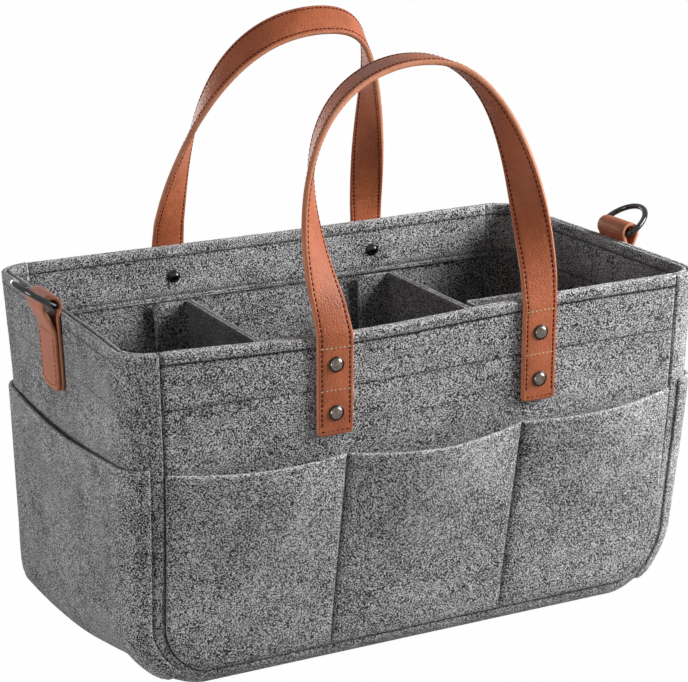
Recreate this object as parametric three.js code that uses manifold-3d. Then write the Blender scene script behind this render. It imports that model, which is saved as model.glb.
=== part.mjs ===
// Felt caddy with twisted leather handles, D-rings at its ends and dividers that can be moved.
// Millimetres, +Z up, -Y is the front. The origin is under the middle of the base.
import * as THREE from 'three';
import { mergeVertices } from 'three/addons/utils/BufferGeometryUtils.js';
import Module from 'manifold-3d';

// Body of felt
const rimLength = 330;
const rimDepth = 215;
const baseLength = 322;
const baseDepth = 190;
const wallHeight = 183;
const feltThickness = 3;
const endCurl = 18; // how far the gusset turns on to the front and back at the ends
const baseCurl = 10; // the same along the base
const bottomCornerRadius = 40; // round corner of the gusset between an end and the base
const seamGap = 0.3; // clearance between pieces that lie on each other

// Rim facing, sewn inside the rim
const facingThickness = 2.5;
const facingHeight = 32;

// Front and back pockets: one sheet each, with two upright seams
const pocketThickness = 2.5;
const pocketSeamX = 49.5;
const mouthHeightAtEnds = 120;
const mouthHeightAtSeams = 116;
const outerMouthDip = 1.5;
const middleMouthDip = 3;
const outerPocketBulge = 7.5;
const middlePocketBulge = 10;

// End pockets, one sheet round each end
const endMouthHeight = 121;
const endMouthDip = 4;
const endPocketBulge = 6.5;
const endPocketInset = 4.7; // from the upright seam to the sheet's cut edge
const endPocketWrap = THREE.MathUtils.degToRad(60); // how far it follows the round bottom corner

// Handles: straps that are twisted between two riveted ends
const strapWidth = 19.6;
const strapThickness = 3.2;
const strapChamfer = 0.8;
const handleMiddleX = 3.4; // both handles sit a little to the right of the middle
const strapDrop = 56; // length of a riveted end below the rim
const strapRise = 1.5; // and above it, so that the strap bends clear of the felt
const strapBevel = THREE.MathUtils.degToRad(23); // room for the strap to bend inwards at the rim
const topTwist = THREE.MathUtils.degToRad(115.5); // turn of the strap from its end to the top
const twistLead = 0.4; // share of the twist's ease that is already spent at the rim
const frontHandle = {
  halfSpan: 58.2,
  lean: THREE.MathUtils.degToRad(21),
  height: 128.8,
  leftReach: 114,
  leftBulge: 19.5,
  rightReach: 125,
  rightBulge: 14,
  topReach: 20,
  topShift: 12.6,
};
const backHandle = {
  halfSpan: 64,
  lean: THREE.MathUtils.degToRad(18.5),
  height: 133,
  leftReach: 98,
  leftBulge: -3,
  rightReach: 100,
  rightBulge: -10.5,
  topReach: 43,
  topShift: 20.6,
};

// Rivets
const upperRivetDrop = 18.5;
const lowerRivetDrop = 44;
const rivetPostRadius = 1.6;
const rivetCapRadius = 4.2;
const rivetCapHeight = 2.1;
const rivetBackRadius = 3.8;
const rivetBackHeight = 1.7;
const rivetSocketDepth = 0.9;

// Ring tabs and D-rings
const tabWidth = 27;
const tabPly = 2.2;
const tabDrop = 42;
const tabSewnDrop = 14; // the two plies are sewn together below this, and part round the bar above it
const loopInnerRadius = 3.6;
const loopLean = 1.7; // the loop stands off the bar, outwards
const leftTabY = -1; // places of the tabs along the ends
const rightTabY = -13;
const ringWireRadius = 1.6;
const ringInnerWidth = 29;
const ringSide = 3.6; // straight side of the ring, between its bar and its bow
const ringCornerRadius = 3;
const ringClearance = 0.4; // round the bar, in the eye of the tab
const ringElevation = THREE.MathUtils.degToRad(35);

// Dividers
const dividerPly = 2;
const dividerFlange = 22;
const dividerStandoff = 2.6; // between a flange and the felt that it grips
const dividerFloorGap = 2.4;
const leftDividerX = -52;
const rightDividerX = 76;
const crossDividerY = 14;
const hookWidth = 18;
const hookAboveCorner = 4; // from the top of the round bottom corner to the hook tape
const hookHeight = 76;

// Worked out from the sizes above
const curlSteps = 6;
const cornerSteps = 6;
const halfBaseLength = baseLength / 2;
const halfBaseDepth = baseDepth / 2;
const depthFlare = (rimDepth - baseDepth) / 2;
const lengthFlare = (rimLength - baseLength) / 2;
const frontSlope = Math.atan2(depthFlare, wallHeight);
const endSlope = Math.atan2(lengthFlare, wallHeight);
const dividerLow = feltThickness + dividerFloorGap;
const dividerHigh = wallHeight - facingHeight - 2 * seamGap;
const hookLow = bottomCornerRadius + hookAboveCorner;
const hookHigh = hookLow + hookHeight;

const wasm = await Module();
wasm.setup();

const felt = { color: 0x7d7f80, roughness: 0.95, metalness: 0 };
const darkFelt = { color: 0x6f7172, roughness: 0.95, metalness: 0 };
const tape = { color: 0x55575a, roughness: 0.9, metalness: 0 };
const leather = { color: 0xa8603a, roughness: 0.55, metalness: 0 };
const nickel = { color: 0x6a6058, roughness: 0.3, metalness: 1 };
const blackMetal = { color: 0x1c1c1e, roughness: 0.25, metalness: 1 };

const caddy = new THREE.Group();

function part(name, geometry, finish, parent = caddy) {
  const mesh = new THREE.Mesh(geometry, new THREE.MeshStandardMaterial(finish));
  mesh.name = name;
  parent.add(mesh);
  return mesh;
}

// Ends and walls lean out towards the rim: this carries a point of the straight box to its place.
function flared(x, y, z) {
  const share = z / wallHeight;
  const wideX = x * (1 + (lengthFlare / halfBaseLength) * share);
  return new THREE.Vector3(wideX, y + Math.sign(y) * depthFlare * share, z);
}

// The same for a piece that stands clear of the front and the back.
function flaredInLength(x, y, z) {
  return new THREE.Vector3(flared(x, 0, z).x, y, z);
}

// Turns every face round: a piece that was mirrored on its way to its place is inside out.
function turnedOut(geometry) {
  const bare = geometry.clone();
  bare.deleteAttribute('normal');
  bare.deleteAttribute('uv');
  const merged = mergeVertices(bare);
  merged.setIndex(Array.from(merged.index.array).reverse());
  return merged;
}

function solidFrom(points, triangles) {
  let volume = 0;
  for (const [a, b, c] of triangles) {
    volume += points[a].dot(new THREE.Vector3().crossVectors(points[b], points[c]));
  }
  const facingOut = volume < 0 ? triangles.map(([a, b, c]) => [a, c, b]) : triangles;
  const geometry = new THREE.BufferGeometry();
  geometry.setAttribute('position', new THREE.Float32BufferAttribute(points.flatMap((p) => p.toArray()), 3));
  geometry.setIndex(facingOut.flat());
  return geometry;
}

// A sheet between two grids of points, closed along its four edges.
function sheet(outer, inner) {
  const rows = outer.length;
  const columns = outer[0].length;
  const points = [...outer.flat(), ...inner.flat()];
  const triangles = [];
  const outerAt = (row, column) => row * columns + column;
  const innerAt = (row, column) => rows * columns + outerAt(row, column);
  const quad = (a, b, c, d) => triangles.push([a, b, c], [a, c, d]);
  for (let row = 0; row < rows - 1; row += 1) {
    for (let column = 0; column < columns - 1; column += 1) {
      const next = [row + 1, column + 1];
      quad(outerAt(row, column), outerAt(row, next[1]), outerAt(...next), outerAt(next[0], column));
      quad(innerAt(row, column), innerAt(next[0], column), innerAt(...next), innerAt(row, next[1]));
    }
  }
  const rim = (from, to) => quad(outerAt(...to), outerAt(...from), innerAt(...from), innerAt(...to));
  for (let column = 0; column < columns - 1; column += 1) {
    rim([0, column], [0, column + 1]);
    rim([rows - 1, column + 1], [rows - 1, column]);
  }
  for (let row = 0; row < rows - 1; row += 1) {
    rim([row + 1, 0], [row, 0]);
    rim([row, columns - 1], [row + 1, columns - 1]);
  }
  return solidFrom(points, triangles);
}

// Rings of points joined into a skin: capped at both ends, or closed on itself.
function skin(rings, closed) {
  const sides = rings[0].length;
  const triangles = [];
  const spans = closed ? rings.length : rings.length - 1;
  for (let ring = 0; ring < spans; ring += 1) {
    const here = ring * sides;
    const there = ((ring + 1) % rings.length) * sides;
    for (let side = 0; side < sides; side += 1) {
      const next = (side + 1) % sides;
      triangles.push([here + side, here + next, there + next], [here + side, there + next, there + side]);
    }
  }
  const last = (rings.length - 1) * sides;
  for (let side = 1; !closed && side < sides - 1; side += 1) {
    triangles.push([0, side + 1, side], [last, last + side, last + side + 1]);
  }
  return solidFrom(rings.flat(), triangles);
}

function toManifold(geometry) {
  const bare = geometry.clone();
  bare.deleteAttribute('normal');
  bare.deleteAttribute('uv');
  const merged = mergeVertices(bare);
  const vertProperties = new Float32Array(merged.attributes.position.array);
  const triVerts = new Uint32Array(merged.index.array);
  return new wasm.Manifold(new wasm.Mesh({ numProp: 3, vertProperties, triVerts }));
}

function drilled(geometry, holes) {
  let solid = toManifold(geometry);
  for (const hole of holes) {
    solid = solid.subtract(toManifold(hole));
  }
  const mesh = solid.getMesh();
  const result = new THREE.BufferGeometry();
  result.setAttribute('position', new THREE.Float32BufferAttribute(mesh.vertProperties, 3));
  result.setIndex(Array.from(mesh.triVerts));
  return result;
}

function range(from, to, steps) {
  return Array.from({ length: steps + 1 }, (_, step) => from + ((to - from) * step) / steps);
}

function eased(share) {
  return THREE.MathUtils.smoothstep(share, 0, 1);
}

// Stations of the gusset from the left rim round the base to the right rim. Each has a point on
// the outside of the felt, the way that it faces, and how far its edges curl on to front and back.
function endStation(side, z) {
  return { x: side * halfBaseLength, z, out: [side, 0], curl: endCurl };
}

function cornerStation(side, angle) {
  const out = [side * Math.cos(angle), -Math.sin(angle)];
  const centreX = side * (halfBaseLength - bottomCornerRadius);
  return {
    x: centreX + out[0] * bottomCornerRadius,
    z: bottomCornerRadius + out[1] * bottomCornerRadius,
    out,
    curl: THREE.MathUtils.lerp(endCurl, baseCurl, angle / (Math.PI / 2)),
  };
}

const cornerAngles = range(0, Math.PI / 2, cornerSteps);
const leftCorner = cornerAngles.map((angle) => cornerStation(-1, angle));
const rightCorner = cornerAngles.map((angle) => cornerStation(1, angle)).reverse();

// Angles across the curled edge, from the seam to the flat of the gusset.
const insetAngle = endPocketInset / endCurl;
const curlAngles = [0, ...range(insetAngle, Math.PI / 2, curlSteps - 1)];

// A point of the gusset's section, lifted off the felt's outside by lift (inwards where negative).
function curlPoint(station, side, angle, lift) {
  const radius = station.curl + lift;
  const y = side * (halfBaseDepth - station.curl + radius * Math.cos(angle));
  const depth = station.curl - radius * Math.sin(angle);
  return flared(station.x - station.out[0] * depth, y, station.z - station.out[1] * depth);
}

function gussetRow(station, lift) {
  const front = curlAngles.map((angle) => curlPoint(station, -1, angle, lift));
  const back = curlAngles.map((angle) => curlPoint(station, 1, angle, lift)).reverse();
  return [...front, ...back];
}

function gusset() {
  const stations = [
    endStation(-1, wallHeight),
    ...leftCorner,
    ...rightCorner,
    endStation(1, wallHeight),
  ];
  const outer = stations.map((station) => gussetRow(station, 0));
  const inner = stations.map((station) => gussetRow(station, -feltThickness));
  return sheet(outer, inner);
}

function endFacing(side) {
  const stations = [endStation(side, wallHeight - facingHeight), endStation(side, wallHeight)];
  const near = -feltThickness - seamGap;
  const outer = stations.map((station) => gussetRow(station, near));
  const inner = stations.map((station) => gussetRow(station, near - facingThickness));
  return sheet(outer, inner);
}

// A pocket round one end: it follows the curls, and swells towards its mouth over the flat.
function endPocket(side) {
  const flatHalf = halfBaseDepth - endCurl;
  const flatYs = range(-flatHalf, flatHalf, 10).slice(1, -1);
  const uprightShares = range(1, 0, 6);
  const wrapAngles = range(0, endPocketWrap, 4).slice(1);
  const swell = (y) => Math.cos((Math.PI / 2) * (y / flatHalf));
  const angles = curlAngles.slice(1);
  const row = (station, mouthShare, lift) => {
    const lowered = (y) => {
      const mouth = endMouthHeight - endMouthDip * swell(y);
      const z = THREE.MathUtils.lerp(bottomCornerRadius, mouth, mouthShare);
      return mouthShare > 0 ? { ...station, z } : station;
    };
    const flatPoint = (y) => {
      const at = lowered(y);
      const proud = lift + endPocketBulge * swell(y) * eased(mouthShare);
      return flared(at.x + at.out[0] * proud, y, at.z + at.out[1] * proud);
    };
    const curl = (ySide) => angles.map((angle) => curlPoint(lowered(flatHalf), ySide, angle, lift));
    return [...curl(-1), ...flatYs.map(flatPoint), ...curl(1).reverse()];
  };
  const rows = (lift) => [
    ...uprightShares.map((share) => row(endStation(side, 0), share, lift)).slice(0, -1),
    row(cornerStation(side, 0), 0, lift),
    ...wrapAngles.map((angle) => row(cornerStation(side, angle), 0, lift)),
  ];
  return sheet(rows(seamGap + pocketThickness), rows(seamGap));
}

// Rivets on a wall, in its own plane: x across, z up from the rim, -y outwards.
const rivetPlaces = ['left', 'right'].flatMap((side) => [
  { side, level: 'upper', drop: upperRivetDrop, throughFacing: true },
  { side, level: 'lower', drop: lowerRivetDrop, throughFacing: false },
]);
const rivetHoleRadius = rivetPostRadius + seamGap;
const wallPlace = new THREE.Matrix4()
  .makeTranslation(0, -rimDepth / 2, wallHeight)
  .multiply(new THREE.Matrix4().makeRotationX(frontSlope));

// The seam that the front panel and the front pocket end at: columns from left to right.
function seamColumn(station) {
  const inset = station.curl + seamGap;
  return { x: station.x - station.out[0] * inset, z: station.z - station.out[1] * inset };
}

const leftSeam = leftCorner.map(seamColumn);
const rightSeam = rightCorner.map(seamColumn);
const seamHalfLength = -leftSeam[0].x;

function seamColumns(middleXs) {
  return [...leftSeam, ...middleXs.map((x) => ({ x, z: baseCurl + seamGap })), ...rightSeam];
}

// A flat piece of the front, cut to an outline in x and z, with rivet holes, at y = near in the box.
function wallPiece(outline, rivets, near, thickness) {
  const shape = new THREE.Shape(outline.map(({ x, z }) => new THREE.Vector2(x, z)));
  for (const { x, drop } of rivets) {
    const middle = near + halfBaseDepth + thickness / 2;
    const centre = new THREE.Vector3(x, middle, -drop).applyMatrix4(wallPlace);
    const hole = new THREE.Path();
    hole.absarc(centre.x / flared(1, 0, centre.z).x, centre.z, rivetHoleRadius, 0, 2 * Math.PI, true);
    shape.holes.push(hole);
  }
  const piece = new THREE.ExtrudeGeometry(shape, { depth: thickness, bevelEnabled: false, curveSegments: 6 });
  const position = piece.attributes.position;
  for (let index = 0; index < position.count; index += 1) {
    const placed = flared(position.getX(index), near + position.getZ(index), position.getY(index));
    position.setXYZ(index, ...placed);
  }
  return turnedOut(piece);
}

function frontPanel(rivets) {
  const rim = [{ x: seamHalfLength, z: wallHeight }, { x: -seamHalfLength, z: wallHeight }];
  return wallPiece([...seamColumns([]), ...rim], rivets, -halfBaseDepth, feltThickness);
}

function frontFacing(rivets) {
  const near = -halfBaseDepth + feltThickness + seamGap;
  const low = wallHeight - facingHeight;
  const outline = [
    { x: -seamHalfLength, z: low },
    { x: seamHalfLength, z: low },
    { x: seamHalfLength, z: wallHeight },
    { x: -seamHalfLength, z: wallHeight },
  ];
  const through = rivets.filter(({ throughFacing }) => throughFacing);
  return wallPiece(outline, through, near, facingThickness);
}

// One pocket sheet with three pockets: flat at its seams, swelling towards the mouth between them.
function frontPocket() {
  const cornerX = halfBaseLength - bottomCornerRadius;
  const outerXs = range(-cornerX, -pocketSeamX, 6).slice(1);
  const middleXs = range(-pocketSeamX, pocketSeamX, 10).slice(1, -1);
  const columns = seamColumns([...outerXs, ...middleXs, ...outerXs.map((x) => -x).reverse()]);
  const acrossPocket = (x) => {
    const middle = Math.abs(x) <= pocketSeamX;
    const share = middle
      ? (x + pocketSeamX) / (2 * pocketSeamX)
      : (Math.abs(x) - pocketSeamX) / (seamHalfLength - pocketSeamX);
    return middle
      ? { share, bulge: middlePocketBulge, dip: middleMouthDip, climb: 0 }
      : { share, bulge: outerPocketBulge, dip: outerMouthDip, climb: mouthHeightAtEnds - mouthHeightAtSeams };
  };
  const mouthHeight = (x) => {
    const { share, dip, climb } = acrossPocket(x);
    return mouthHeightAtSeams + share * climb - dip * Math.sin(Math.PI * share);
  };
  const swell = (x, z) => {
    const { share, bulge } = acrossPocket(x);
    const rise = (z - bottomCornerRadius) / (mouthHeightAtSeams - bottomCornerRadius);
    return bulge * Math.sin(Math.PI * share) * eased(rise);
  };
  const rows = (lift) => range(0, 1, 7).map((rise) => columns.map(({ x, z }) => {
    const height = THREE.MathUtils.lerp(z, mouthHeight(x), rise);
    return flared(x, -halfBaseDepth - lift - swell(x, height), height);
  }));
  return sheet(rows(seamGap + pocketThickness), rows(seamGap));
}

// A divider ply with flanges turned to the left along the back and the front wall.
const flangeY = halfBaseDepth - feltThickness - dividerStandoff;

function plyRows(plan, place) {
  return [dividerLow, dividerHigh].map((z) => plan.map(([x, y]) => place(x, y, z)));
}

function flangedDivider(x) {
  const tip = x - dividerFlange;
  const innerY = flangeY - dividerPly;
  const outer = [[tip, flangeY], [x, flangeY], [x, -flangeY], [tip, -flangeY]];
  const innerX = x - dividerPly;
  const inner = [[tip, innerY], [innerX, innerY], [innerX, -innerY], [tip, -innerY]];
  return sheet(plyRows(outer, flared), plyRows(inner, flared));
}

function dividerBacking(x) {
  const near = x + seamGap;
  const face = (at) => plyRows([[at, flangeY], [at, -flangeY]], flared);
  return sheet(face(near), face(near + dividerPly));
}

// The cross divider spans from the right divider to the right end, with flanges turned to the front.
const crossLeftX = rightDividerX + seamGap + dividerPly + dividerStandoff;
const crossRightX = halfBaseLength - feltThickness - dividerStandoff;

function crossDivider() {
  const tip = crossDividerY - dividerFlange;
  const innerY = crossDividerY - dividerPly;
  const outer = [
    [crossLeftX, tip],
    [crossLeftX, crossDividerY],
    [crossRightX, crossDividerY],
    [crossRightX, tip],
  ];
  const left = crossLeftX + dividerPly;
  const right = crossRightX - dividerPly;
  const inner = [[left, tip], [left, innerY], [right, innerY], [right, tip]];
  const ply = sheet(plyRows(outer, flaredInLength), plyRows(inner, flaredInLength));
  return drilled(ply, [cornerTrim()]);
}

// What is trimmed off the cross divider to clear the gusset's round bottom corner.
function cornerTrim() {
  const centreX = halfBaseLength - bottomCornerRadius;
  const radius = bottomCornerRadius - feltThickness - dividerFloorGap;
  const outside = new THREE.Shape();
  outside.moveTo(centreX, 0);
  outside.lineTo(rimLength, 0);
  outside.lineTo(rimLength, bottomCornerRadius);
  outside.absarc(centreX, bottomCornerRadius, radius, 0, -Math.PI / 2, true);
  const trim = new THREE.ExtrudeGeometry(outside, { depth: rimDepth, bevelEnabled: false, curveSegments: 8 });
  return trim.translate(0, 0, -rimDepth / 2).rotateX(Math.PI / 2);
}

// Hook tape fills the stand-off behind a flange.
const hookThickness = dividerStandoff - 2 * seamGap;
const hookInset = (dividerFlange - hookWidth) / 2;

function wallHook(dividerX, side) {
  const left = dividerX - dividerFlange + hookInset;
  const y = side * (flangeY + seamGap);
  const rows = (at) => [hookLow, hookHigh].map((z) => [
    flared(left, at, z),
    flared(left + hookWidth, at, z),
  ]);
  return sheet(rows(y), rows(y + side * hookThickness));
}

function crossHook(x) {
  const near = crossDividerY - dividerFlange + hookInset;
  const rows = (at) => [hookLow, hookHigh].map((z) => [
    flaredInLength(at, near, z),
    flaredInLength(at, near + hookWidth, z),
  ]);
  return sheet(rows(x), rows(x + hookThickness));
}

function rivetHole(x, z) {
  const hole = new THREE.CylinderGeometry(rivetHoleRadius, rivetHoleRadius, 3 * strapThickness, 12);
  return hole.translate(x, 0, z);
}

// A riveted end of a strap: its top is bevelled next to the wall, where the strap bends.
function strapEnd(x) {
  const outside = -seamGap - strapThickness;
  const profile = new THREE.Shape([
    new THREE.Vector2(-seamGap, -strapDrop),
    new THREE.Vector2(-seamGap, strapRise - strapThickness * Math.tan(strapBevel)),
    new THREE.Vector2(outside, strapRise),
    new THREE.Vector2(outside, -strapDrop),
  ]);
  const bar = new THREE.ExtrudeGeometry(profile, { depth: strapWidth, bevelEnabled: false });
  bar.translate(0, 0, -strapWidth / 2);
  const upright = new THREE.Matrix4().makeBasis(
    new THREE.Vector3(0, 1, 0),
    new THREE.Vector3(0, 0, 1),
    new THREE.Vector3(1, 0, 0),
  );
  bar.applyMatrix4(upright).translate(x, 0, 0);
  return drilled(bar, [rivetHole(x, -upperRivetDrop), rivetHole(x, -lowerRivetDrop)]);
}

function lathe(profile) {
  return new THREE.LatheGeometry(profile.map(([radius, y]) => new THREE.Vector2(radius, y)), 14);
}

// Domed cap with its post; y = 0 is the face that sits on the strap.
function rivetCap(postLength) {
  const shoulder = 0.25 * rivetCapHeight;
  const crown = 0.75 * rivetCapHeight;
  return lathe([
    [0, -postLength],
    [rivetPostRadius, -postLength],
    [rivetPostRadius, 0],
    [rivetCapRadius, 0],
    [rivetCapRadius, shoulder],
    [0.75 * rivetCapRadius, crown],
    [0, rivetCapHeight],
  ]);
}

// Round back with a socket for the post; y = 0 is the face that sits on the felt.
function rivetBack() {
  return lathe([
    [0, -rivetBackHeight],
    [0.7 * rivetBackRadius, -0.9 * rivetBackHeight],
    [rivetBackRadius, -0.4 * rivetBackHeight],
    [rivetBackRadius, 0],
    [rivetHoleRadius, 0],
    [rivetHoleRadius, -rivetSocketDepth],
    [0, -rivetSocketDepth],
  ]);
}

// The moving part of a strap, in the plane that it leans in: x across, z up, with the bend at z = 0
// on the strap's outer face. The strap's middle lies at y = middle from that face.
function handleArch(shape, middle) {
  const { halfSpan, height, leftReach, leftBulge, rightReach, rightBulge, topReach, topShift } = shape;
  const leftX = handleMiddleX - halfSpan;
  const rightX = handleMiddleX + halfSpan;
  const at = (x, z) => new THREE.Vector2(x, z);
  const top = at(topShift, height);
  const risingHalf = new THREE.CubicBezierCurve(
    at(leftX, 0),
    at(leftX - leftBulge, leftReach),
    at(topShift - topReach, height),
    top,
  );
  const fallingHalf = new THREE.CubicBezierCurve(
    top,
    at(topShift + topReach, height),
    at(rightX + rightBulge, rightReach),
    at(rightX, 0),
  );
  const spentEase = eased(twistLead / (1 + twistLead));
  const twist = (share) => {
    const ease = eased((share + twistLead) / (1 + twistLead));
    return (topTwist * (ease - spentEase)) / (1 - spentEase);
  };
  const halfWidth = strapWidth / 2;
  const halfThickness = strapThickness / 2;
  const section = [
    [halfWidth, halfThickness - strapChamfer],
    [halfWidth - strapChamfer, halfThickness],
    [strapChamfer - halfWidth, halfThickness],
    [-halfWidth, halfThickness - strapChamfer],
    [-halfWidth, strapChamfer - halfThickness],
    [strapChamfer - halfWidth, -halfThickness],
    [halfWidth - strapChamfer, -halfThickness],
    [halfWidth, strapChamfer - halfThickness],
  ];
  const ring = (curve, along, share) => {
    const point = curve.getPointAt(along);
    const tangent = curve.getTangentAt(along);
    const travel = new THREE.Vector3(tangent.x, 0, tangent.y);
    const outwards = new THREE.Vector3(-tangent.y, 0, tangent.x);
    const forwards = new THREE.Vector3(0, -1, 0);
    const turn = twist(share);
    const across = outwards.multiplyScalar(Math.cos(turn)).addScaledVector(forwards, Math.sin(turn));
    const face = new THREE.Vector3().crossVectors(travel, across);
    const centre = new THREE.Vector3(point.x, middle, point.y);
    return section.map(([w, t]) => centre.clone().addScaledVector(across, w).addScaledVector(face, t));
  };
  const bevelled = (points) => points.map((point) => {
    return point.setZ(seamGap + Math.abs(point.y) * Math.tan(strapBevel));
  });
  const shares = range(0, 1, 18);
  const rising = shares.map((share) => ring(risingHalf, share, share));
  const falling = shares.slice(1).map((share) => ring(fallingHalf, share, 1 - share));
  bevelled(rising[0]);
  bevelled(falling[falling.length - 1]);
  return skin([...rising, ...falling], false);
}

// A leather strip folded round the ring's bar and sewn to itself: x outwards, y up from the rim.
const barHeight = ringWireRadius + ringClearance + tabPly + seamGap;

function ringTab() {
  const rise = barHeight + tabSewnDrop;
  const parting = Math.atan2(loopLean, rise) + Math.asin(loopInnerRadius / Math.hypot(loopLean, rise));
  const loopOuterRadius = loopInnerRadius + tabPly;
  const outerMeet = Math.PI + Math.acos((loopLean + tabPly) / loopOuterRadius);
  const innerMeet = Math.PI + Math.acos(loopLean / loopInnerRadius);
  const profile = new THREE.Shape();
  profile.moveTo(tabPly, -tabDrop);
  profile.lineTo(tabPly, -tabSewnDrop - tabPly * Math.tan(parting / 2));
  profile.absarc(loopLean, barHeight, loopOuterRadius, -parting, outerMeet, false);
  profile.lineTo(-tabPly, -tabDrop);
  const eye = new THREE.Path();
  eye.moveTo(0, -tabSewnDrop);
  eye.absarc(loopLean, barHeight, loopInnerRadius, -parting, innerMeet, false);
  profile.holes.push(eye);
  const tab = new THREE.ExtrudeGeometry(profile, { depth: tabWidth, bevelEnabled: false, curveSegments: 14 });
  return tab.translate(0, 0, -tabWidth / 2).rotateX(Math.PI / 2);
}

// A ring of round wire, lying along x from the middle of its bar, which runs along y.
function dRing() {
  const half = ringInnerWidth / 2 + ringWireRadius;
  const corner = half - ringCornerRadius;
  const outline = new THREE.Path();
  outline.moveTo(-corner, 0);
  outline.lineTo(corner, 0);
  outline.absarc(corner, ringCornerRadius, ringCornerRadius, -Math.PI / 2, 0, false);
  outline.absarc(0, ringSide, half, 0, Math.PI, false);
  outline.absarc(-corner, ringCornerRadius, ringCornerRadius, Math.PI, 1.5 * Math.PI, false);
  const route = outline.getPoints(6);
  route.pop();
  const sides = 10;
  const rings = route.map((point, index) => {
    const before = route[(index + route.length - 1) % route.length];
    const after = route[(index + 1) % route.length];
    const along = after.clone().sub(before).normalize();
    return range(0, 2 * Math.PI, sides).slice(1).map((angle) => {
      const outwards = ringWireRadius * Math.cos(angle);
      const y = point.x + along.y * outwards;
      const x = point.y - along.x * outwards;
      return new THREE.Vector3(x, y, ringWireRadius * Math.sin(angle));
    });
  });
  return skin(rings, true);
}

// Front and back: the back is the front turned half round.
for (const [name, handle, middleX] of [
  ['front', frontHandle, handleMiddleX],
  ['back', backHandle, -handleMiddleX],
]) {
  const anchors = { left: middleX - handle.halfSpan, right: middleX + handle.halfSpan };
  const rivets = rivetPlaces.map((place) => ({ ...place, x: anchors[place.side] }));
  const side = new THREE.Group();
  side.rotation.z = name === 'back' ? Math.PI : 0;
  caddy.add(side);
  part(`${name}_panel`, frontPanel(rivets), felt, side);
  part(`${name}_facing`, frontFacing(rivets), felt, side);
  part(`${name}_pocket`, frontPocket(), felt, side);

  const wall = new THREE.Group();
  wall.applyMatrix4(wallPlace);
  side.add(wall);
  const otherSide = { left: 'right', right: 'left' };
  const worldSide = (placed) => (name === 'back' ? otherSide[placed] : placed);
  part(`${name}_handle_${worldSide('left')}_end`, strapEnd(anchors.left), leather, wall);
  part(`${name}_handle_${worldSide('right')}_end`, strapEnd(anchors.right), leather, wall);

  for (const place of rivets) {
    const facing = place.throughFacing ? facingThickness + seamGap : 0;
    const backSeat = feltThickness + facing + seamGap;
    const capSeat = strapThickness + 2 * seamGap;
    const postLength = capSeat + backSeat + rivetSocketDepth - seamGap;
    const label = `${name}_${worldSide(place.side)}_${place.level}`;
    const cap = part(`${label}_rivet_cap`, rivetCap(postLength), nickel, wall);
    cap.position.set(place.x, -capSeat, -place.drop);
    cap.rotation.x = Math.PI;
    const back = part(`${label}_rivet_back`, rivetBack(), blackMetal, wall);
    back.position.set(place.x, backSeat, -place.drop);
    back.rotation.x = Math.PI;
  }
}

part('gusset', gusset(), felt);

// Handles bend just above the rim, on the outer face of their riveted ends.
const bendLine = new THREE.Vector3(0, -seamGap - strapThickness, strapRise).applyMatrix4(wallPlace);
const frontArch = part('front_handle_arch', handleArch(frontHandle, strapThickness / 2), leather);
frontArch.position.copy(bendLine);
frontArch.rotation.x = -frontHandle.lean;
const backArch = part('back_handle_arch', handleArch(backHandle, -strapThickness / 2), leather);
backArch.position.set(0, -bendLine.y, bendLine.z);
backArch.rotation.x = backHandle.lean;

// Ends: pocket, facing, ring tab and ring.
for (const [name, side, tabY] of [['left', -1, leftTabY], ['right', 1, rightTabY]]) {
  part(`${name}_end_pocket`, endPocket(side), felt);
  part(`${name}_facing`, endFacing(side), felt);
  const turned = new THREE.Group();
  turned.rotation.z = side < 0 ? Math.PI : 0;
  caddy.add(turned);
  const end = new THREE.Group();
  end.position.set(rimLength / 2, 0, wallHeight);
  end.rotation.y = endSlope;
  turned.add(end);
  const tab = part(`${name}_ring_tab`, ringTab(), leather, end);
  tab.position.set(seamGap + tabPly, side * tabY, 0);
  const ring = part(`${name}_d_ring`, dRing(), blackMetal, end);
  ring.position.set(seamGap + tabPly, side * tabY, barHeight);
  ring.rotation.y = -ringElevation;
}

// Dividers with their hook tape.
for (const [name, x] of [['left', leftDividerX], ['right', rightDividerX]]) {
  part(`${name}_divider`, flangedDivider(x), darkFelt);
  part(`${name}_divider_backing`, dividerBacking(x), darkFelt);
  part(`${name}_divider_front_hook`, wallHook(x, -1), tape);
  part(`${name}_divider_back_hook`, wallHook(x, 1), tape);
}
part('cross_divider', crossDivider(), darkFelt);
part('cross_divider_left_hook', crossHook(crossLeftX - seamGap - hookThickness), tape);
part('cross_divider_right_hook', crossHook(crossRightX + seamGap), tape);

export default caddy;
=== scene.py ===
import math
import bpy
import bmesh
from mathutils import Matrix, Vector, noise


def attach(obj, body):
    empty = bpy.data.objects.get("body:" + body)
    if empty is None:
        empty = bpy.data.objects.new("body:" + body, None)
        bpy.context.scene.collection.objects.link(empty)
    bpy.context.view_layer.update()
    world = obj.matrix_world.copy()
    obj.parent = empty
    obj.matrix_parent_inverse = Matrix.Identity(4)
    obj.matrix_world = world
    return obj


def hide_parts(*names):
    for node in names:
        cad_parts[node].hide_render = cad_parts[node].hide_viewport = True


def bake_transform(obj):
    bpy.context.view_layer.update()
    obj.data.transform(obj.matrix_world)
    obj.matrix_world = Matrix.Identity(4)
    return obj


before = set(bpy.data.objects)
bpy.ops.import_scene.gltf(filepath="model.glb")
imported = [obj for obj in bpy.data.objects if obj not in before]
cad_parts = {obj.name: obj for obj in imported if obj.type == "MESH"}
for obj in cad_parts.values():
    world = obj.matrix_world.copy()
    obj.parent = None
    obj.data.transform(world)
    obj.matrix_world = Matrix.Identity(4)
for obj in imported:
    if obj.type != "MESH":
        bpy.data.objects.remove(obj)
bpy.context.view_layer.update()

noise.seed_set(5)  # the same ripples each run
mm = 0.001  # shapes below are drawn in millimetres
scene = bpy.context.scene
scene.view_settings.view_transform = "Standard"
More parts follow.
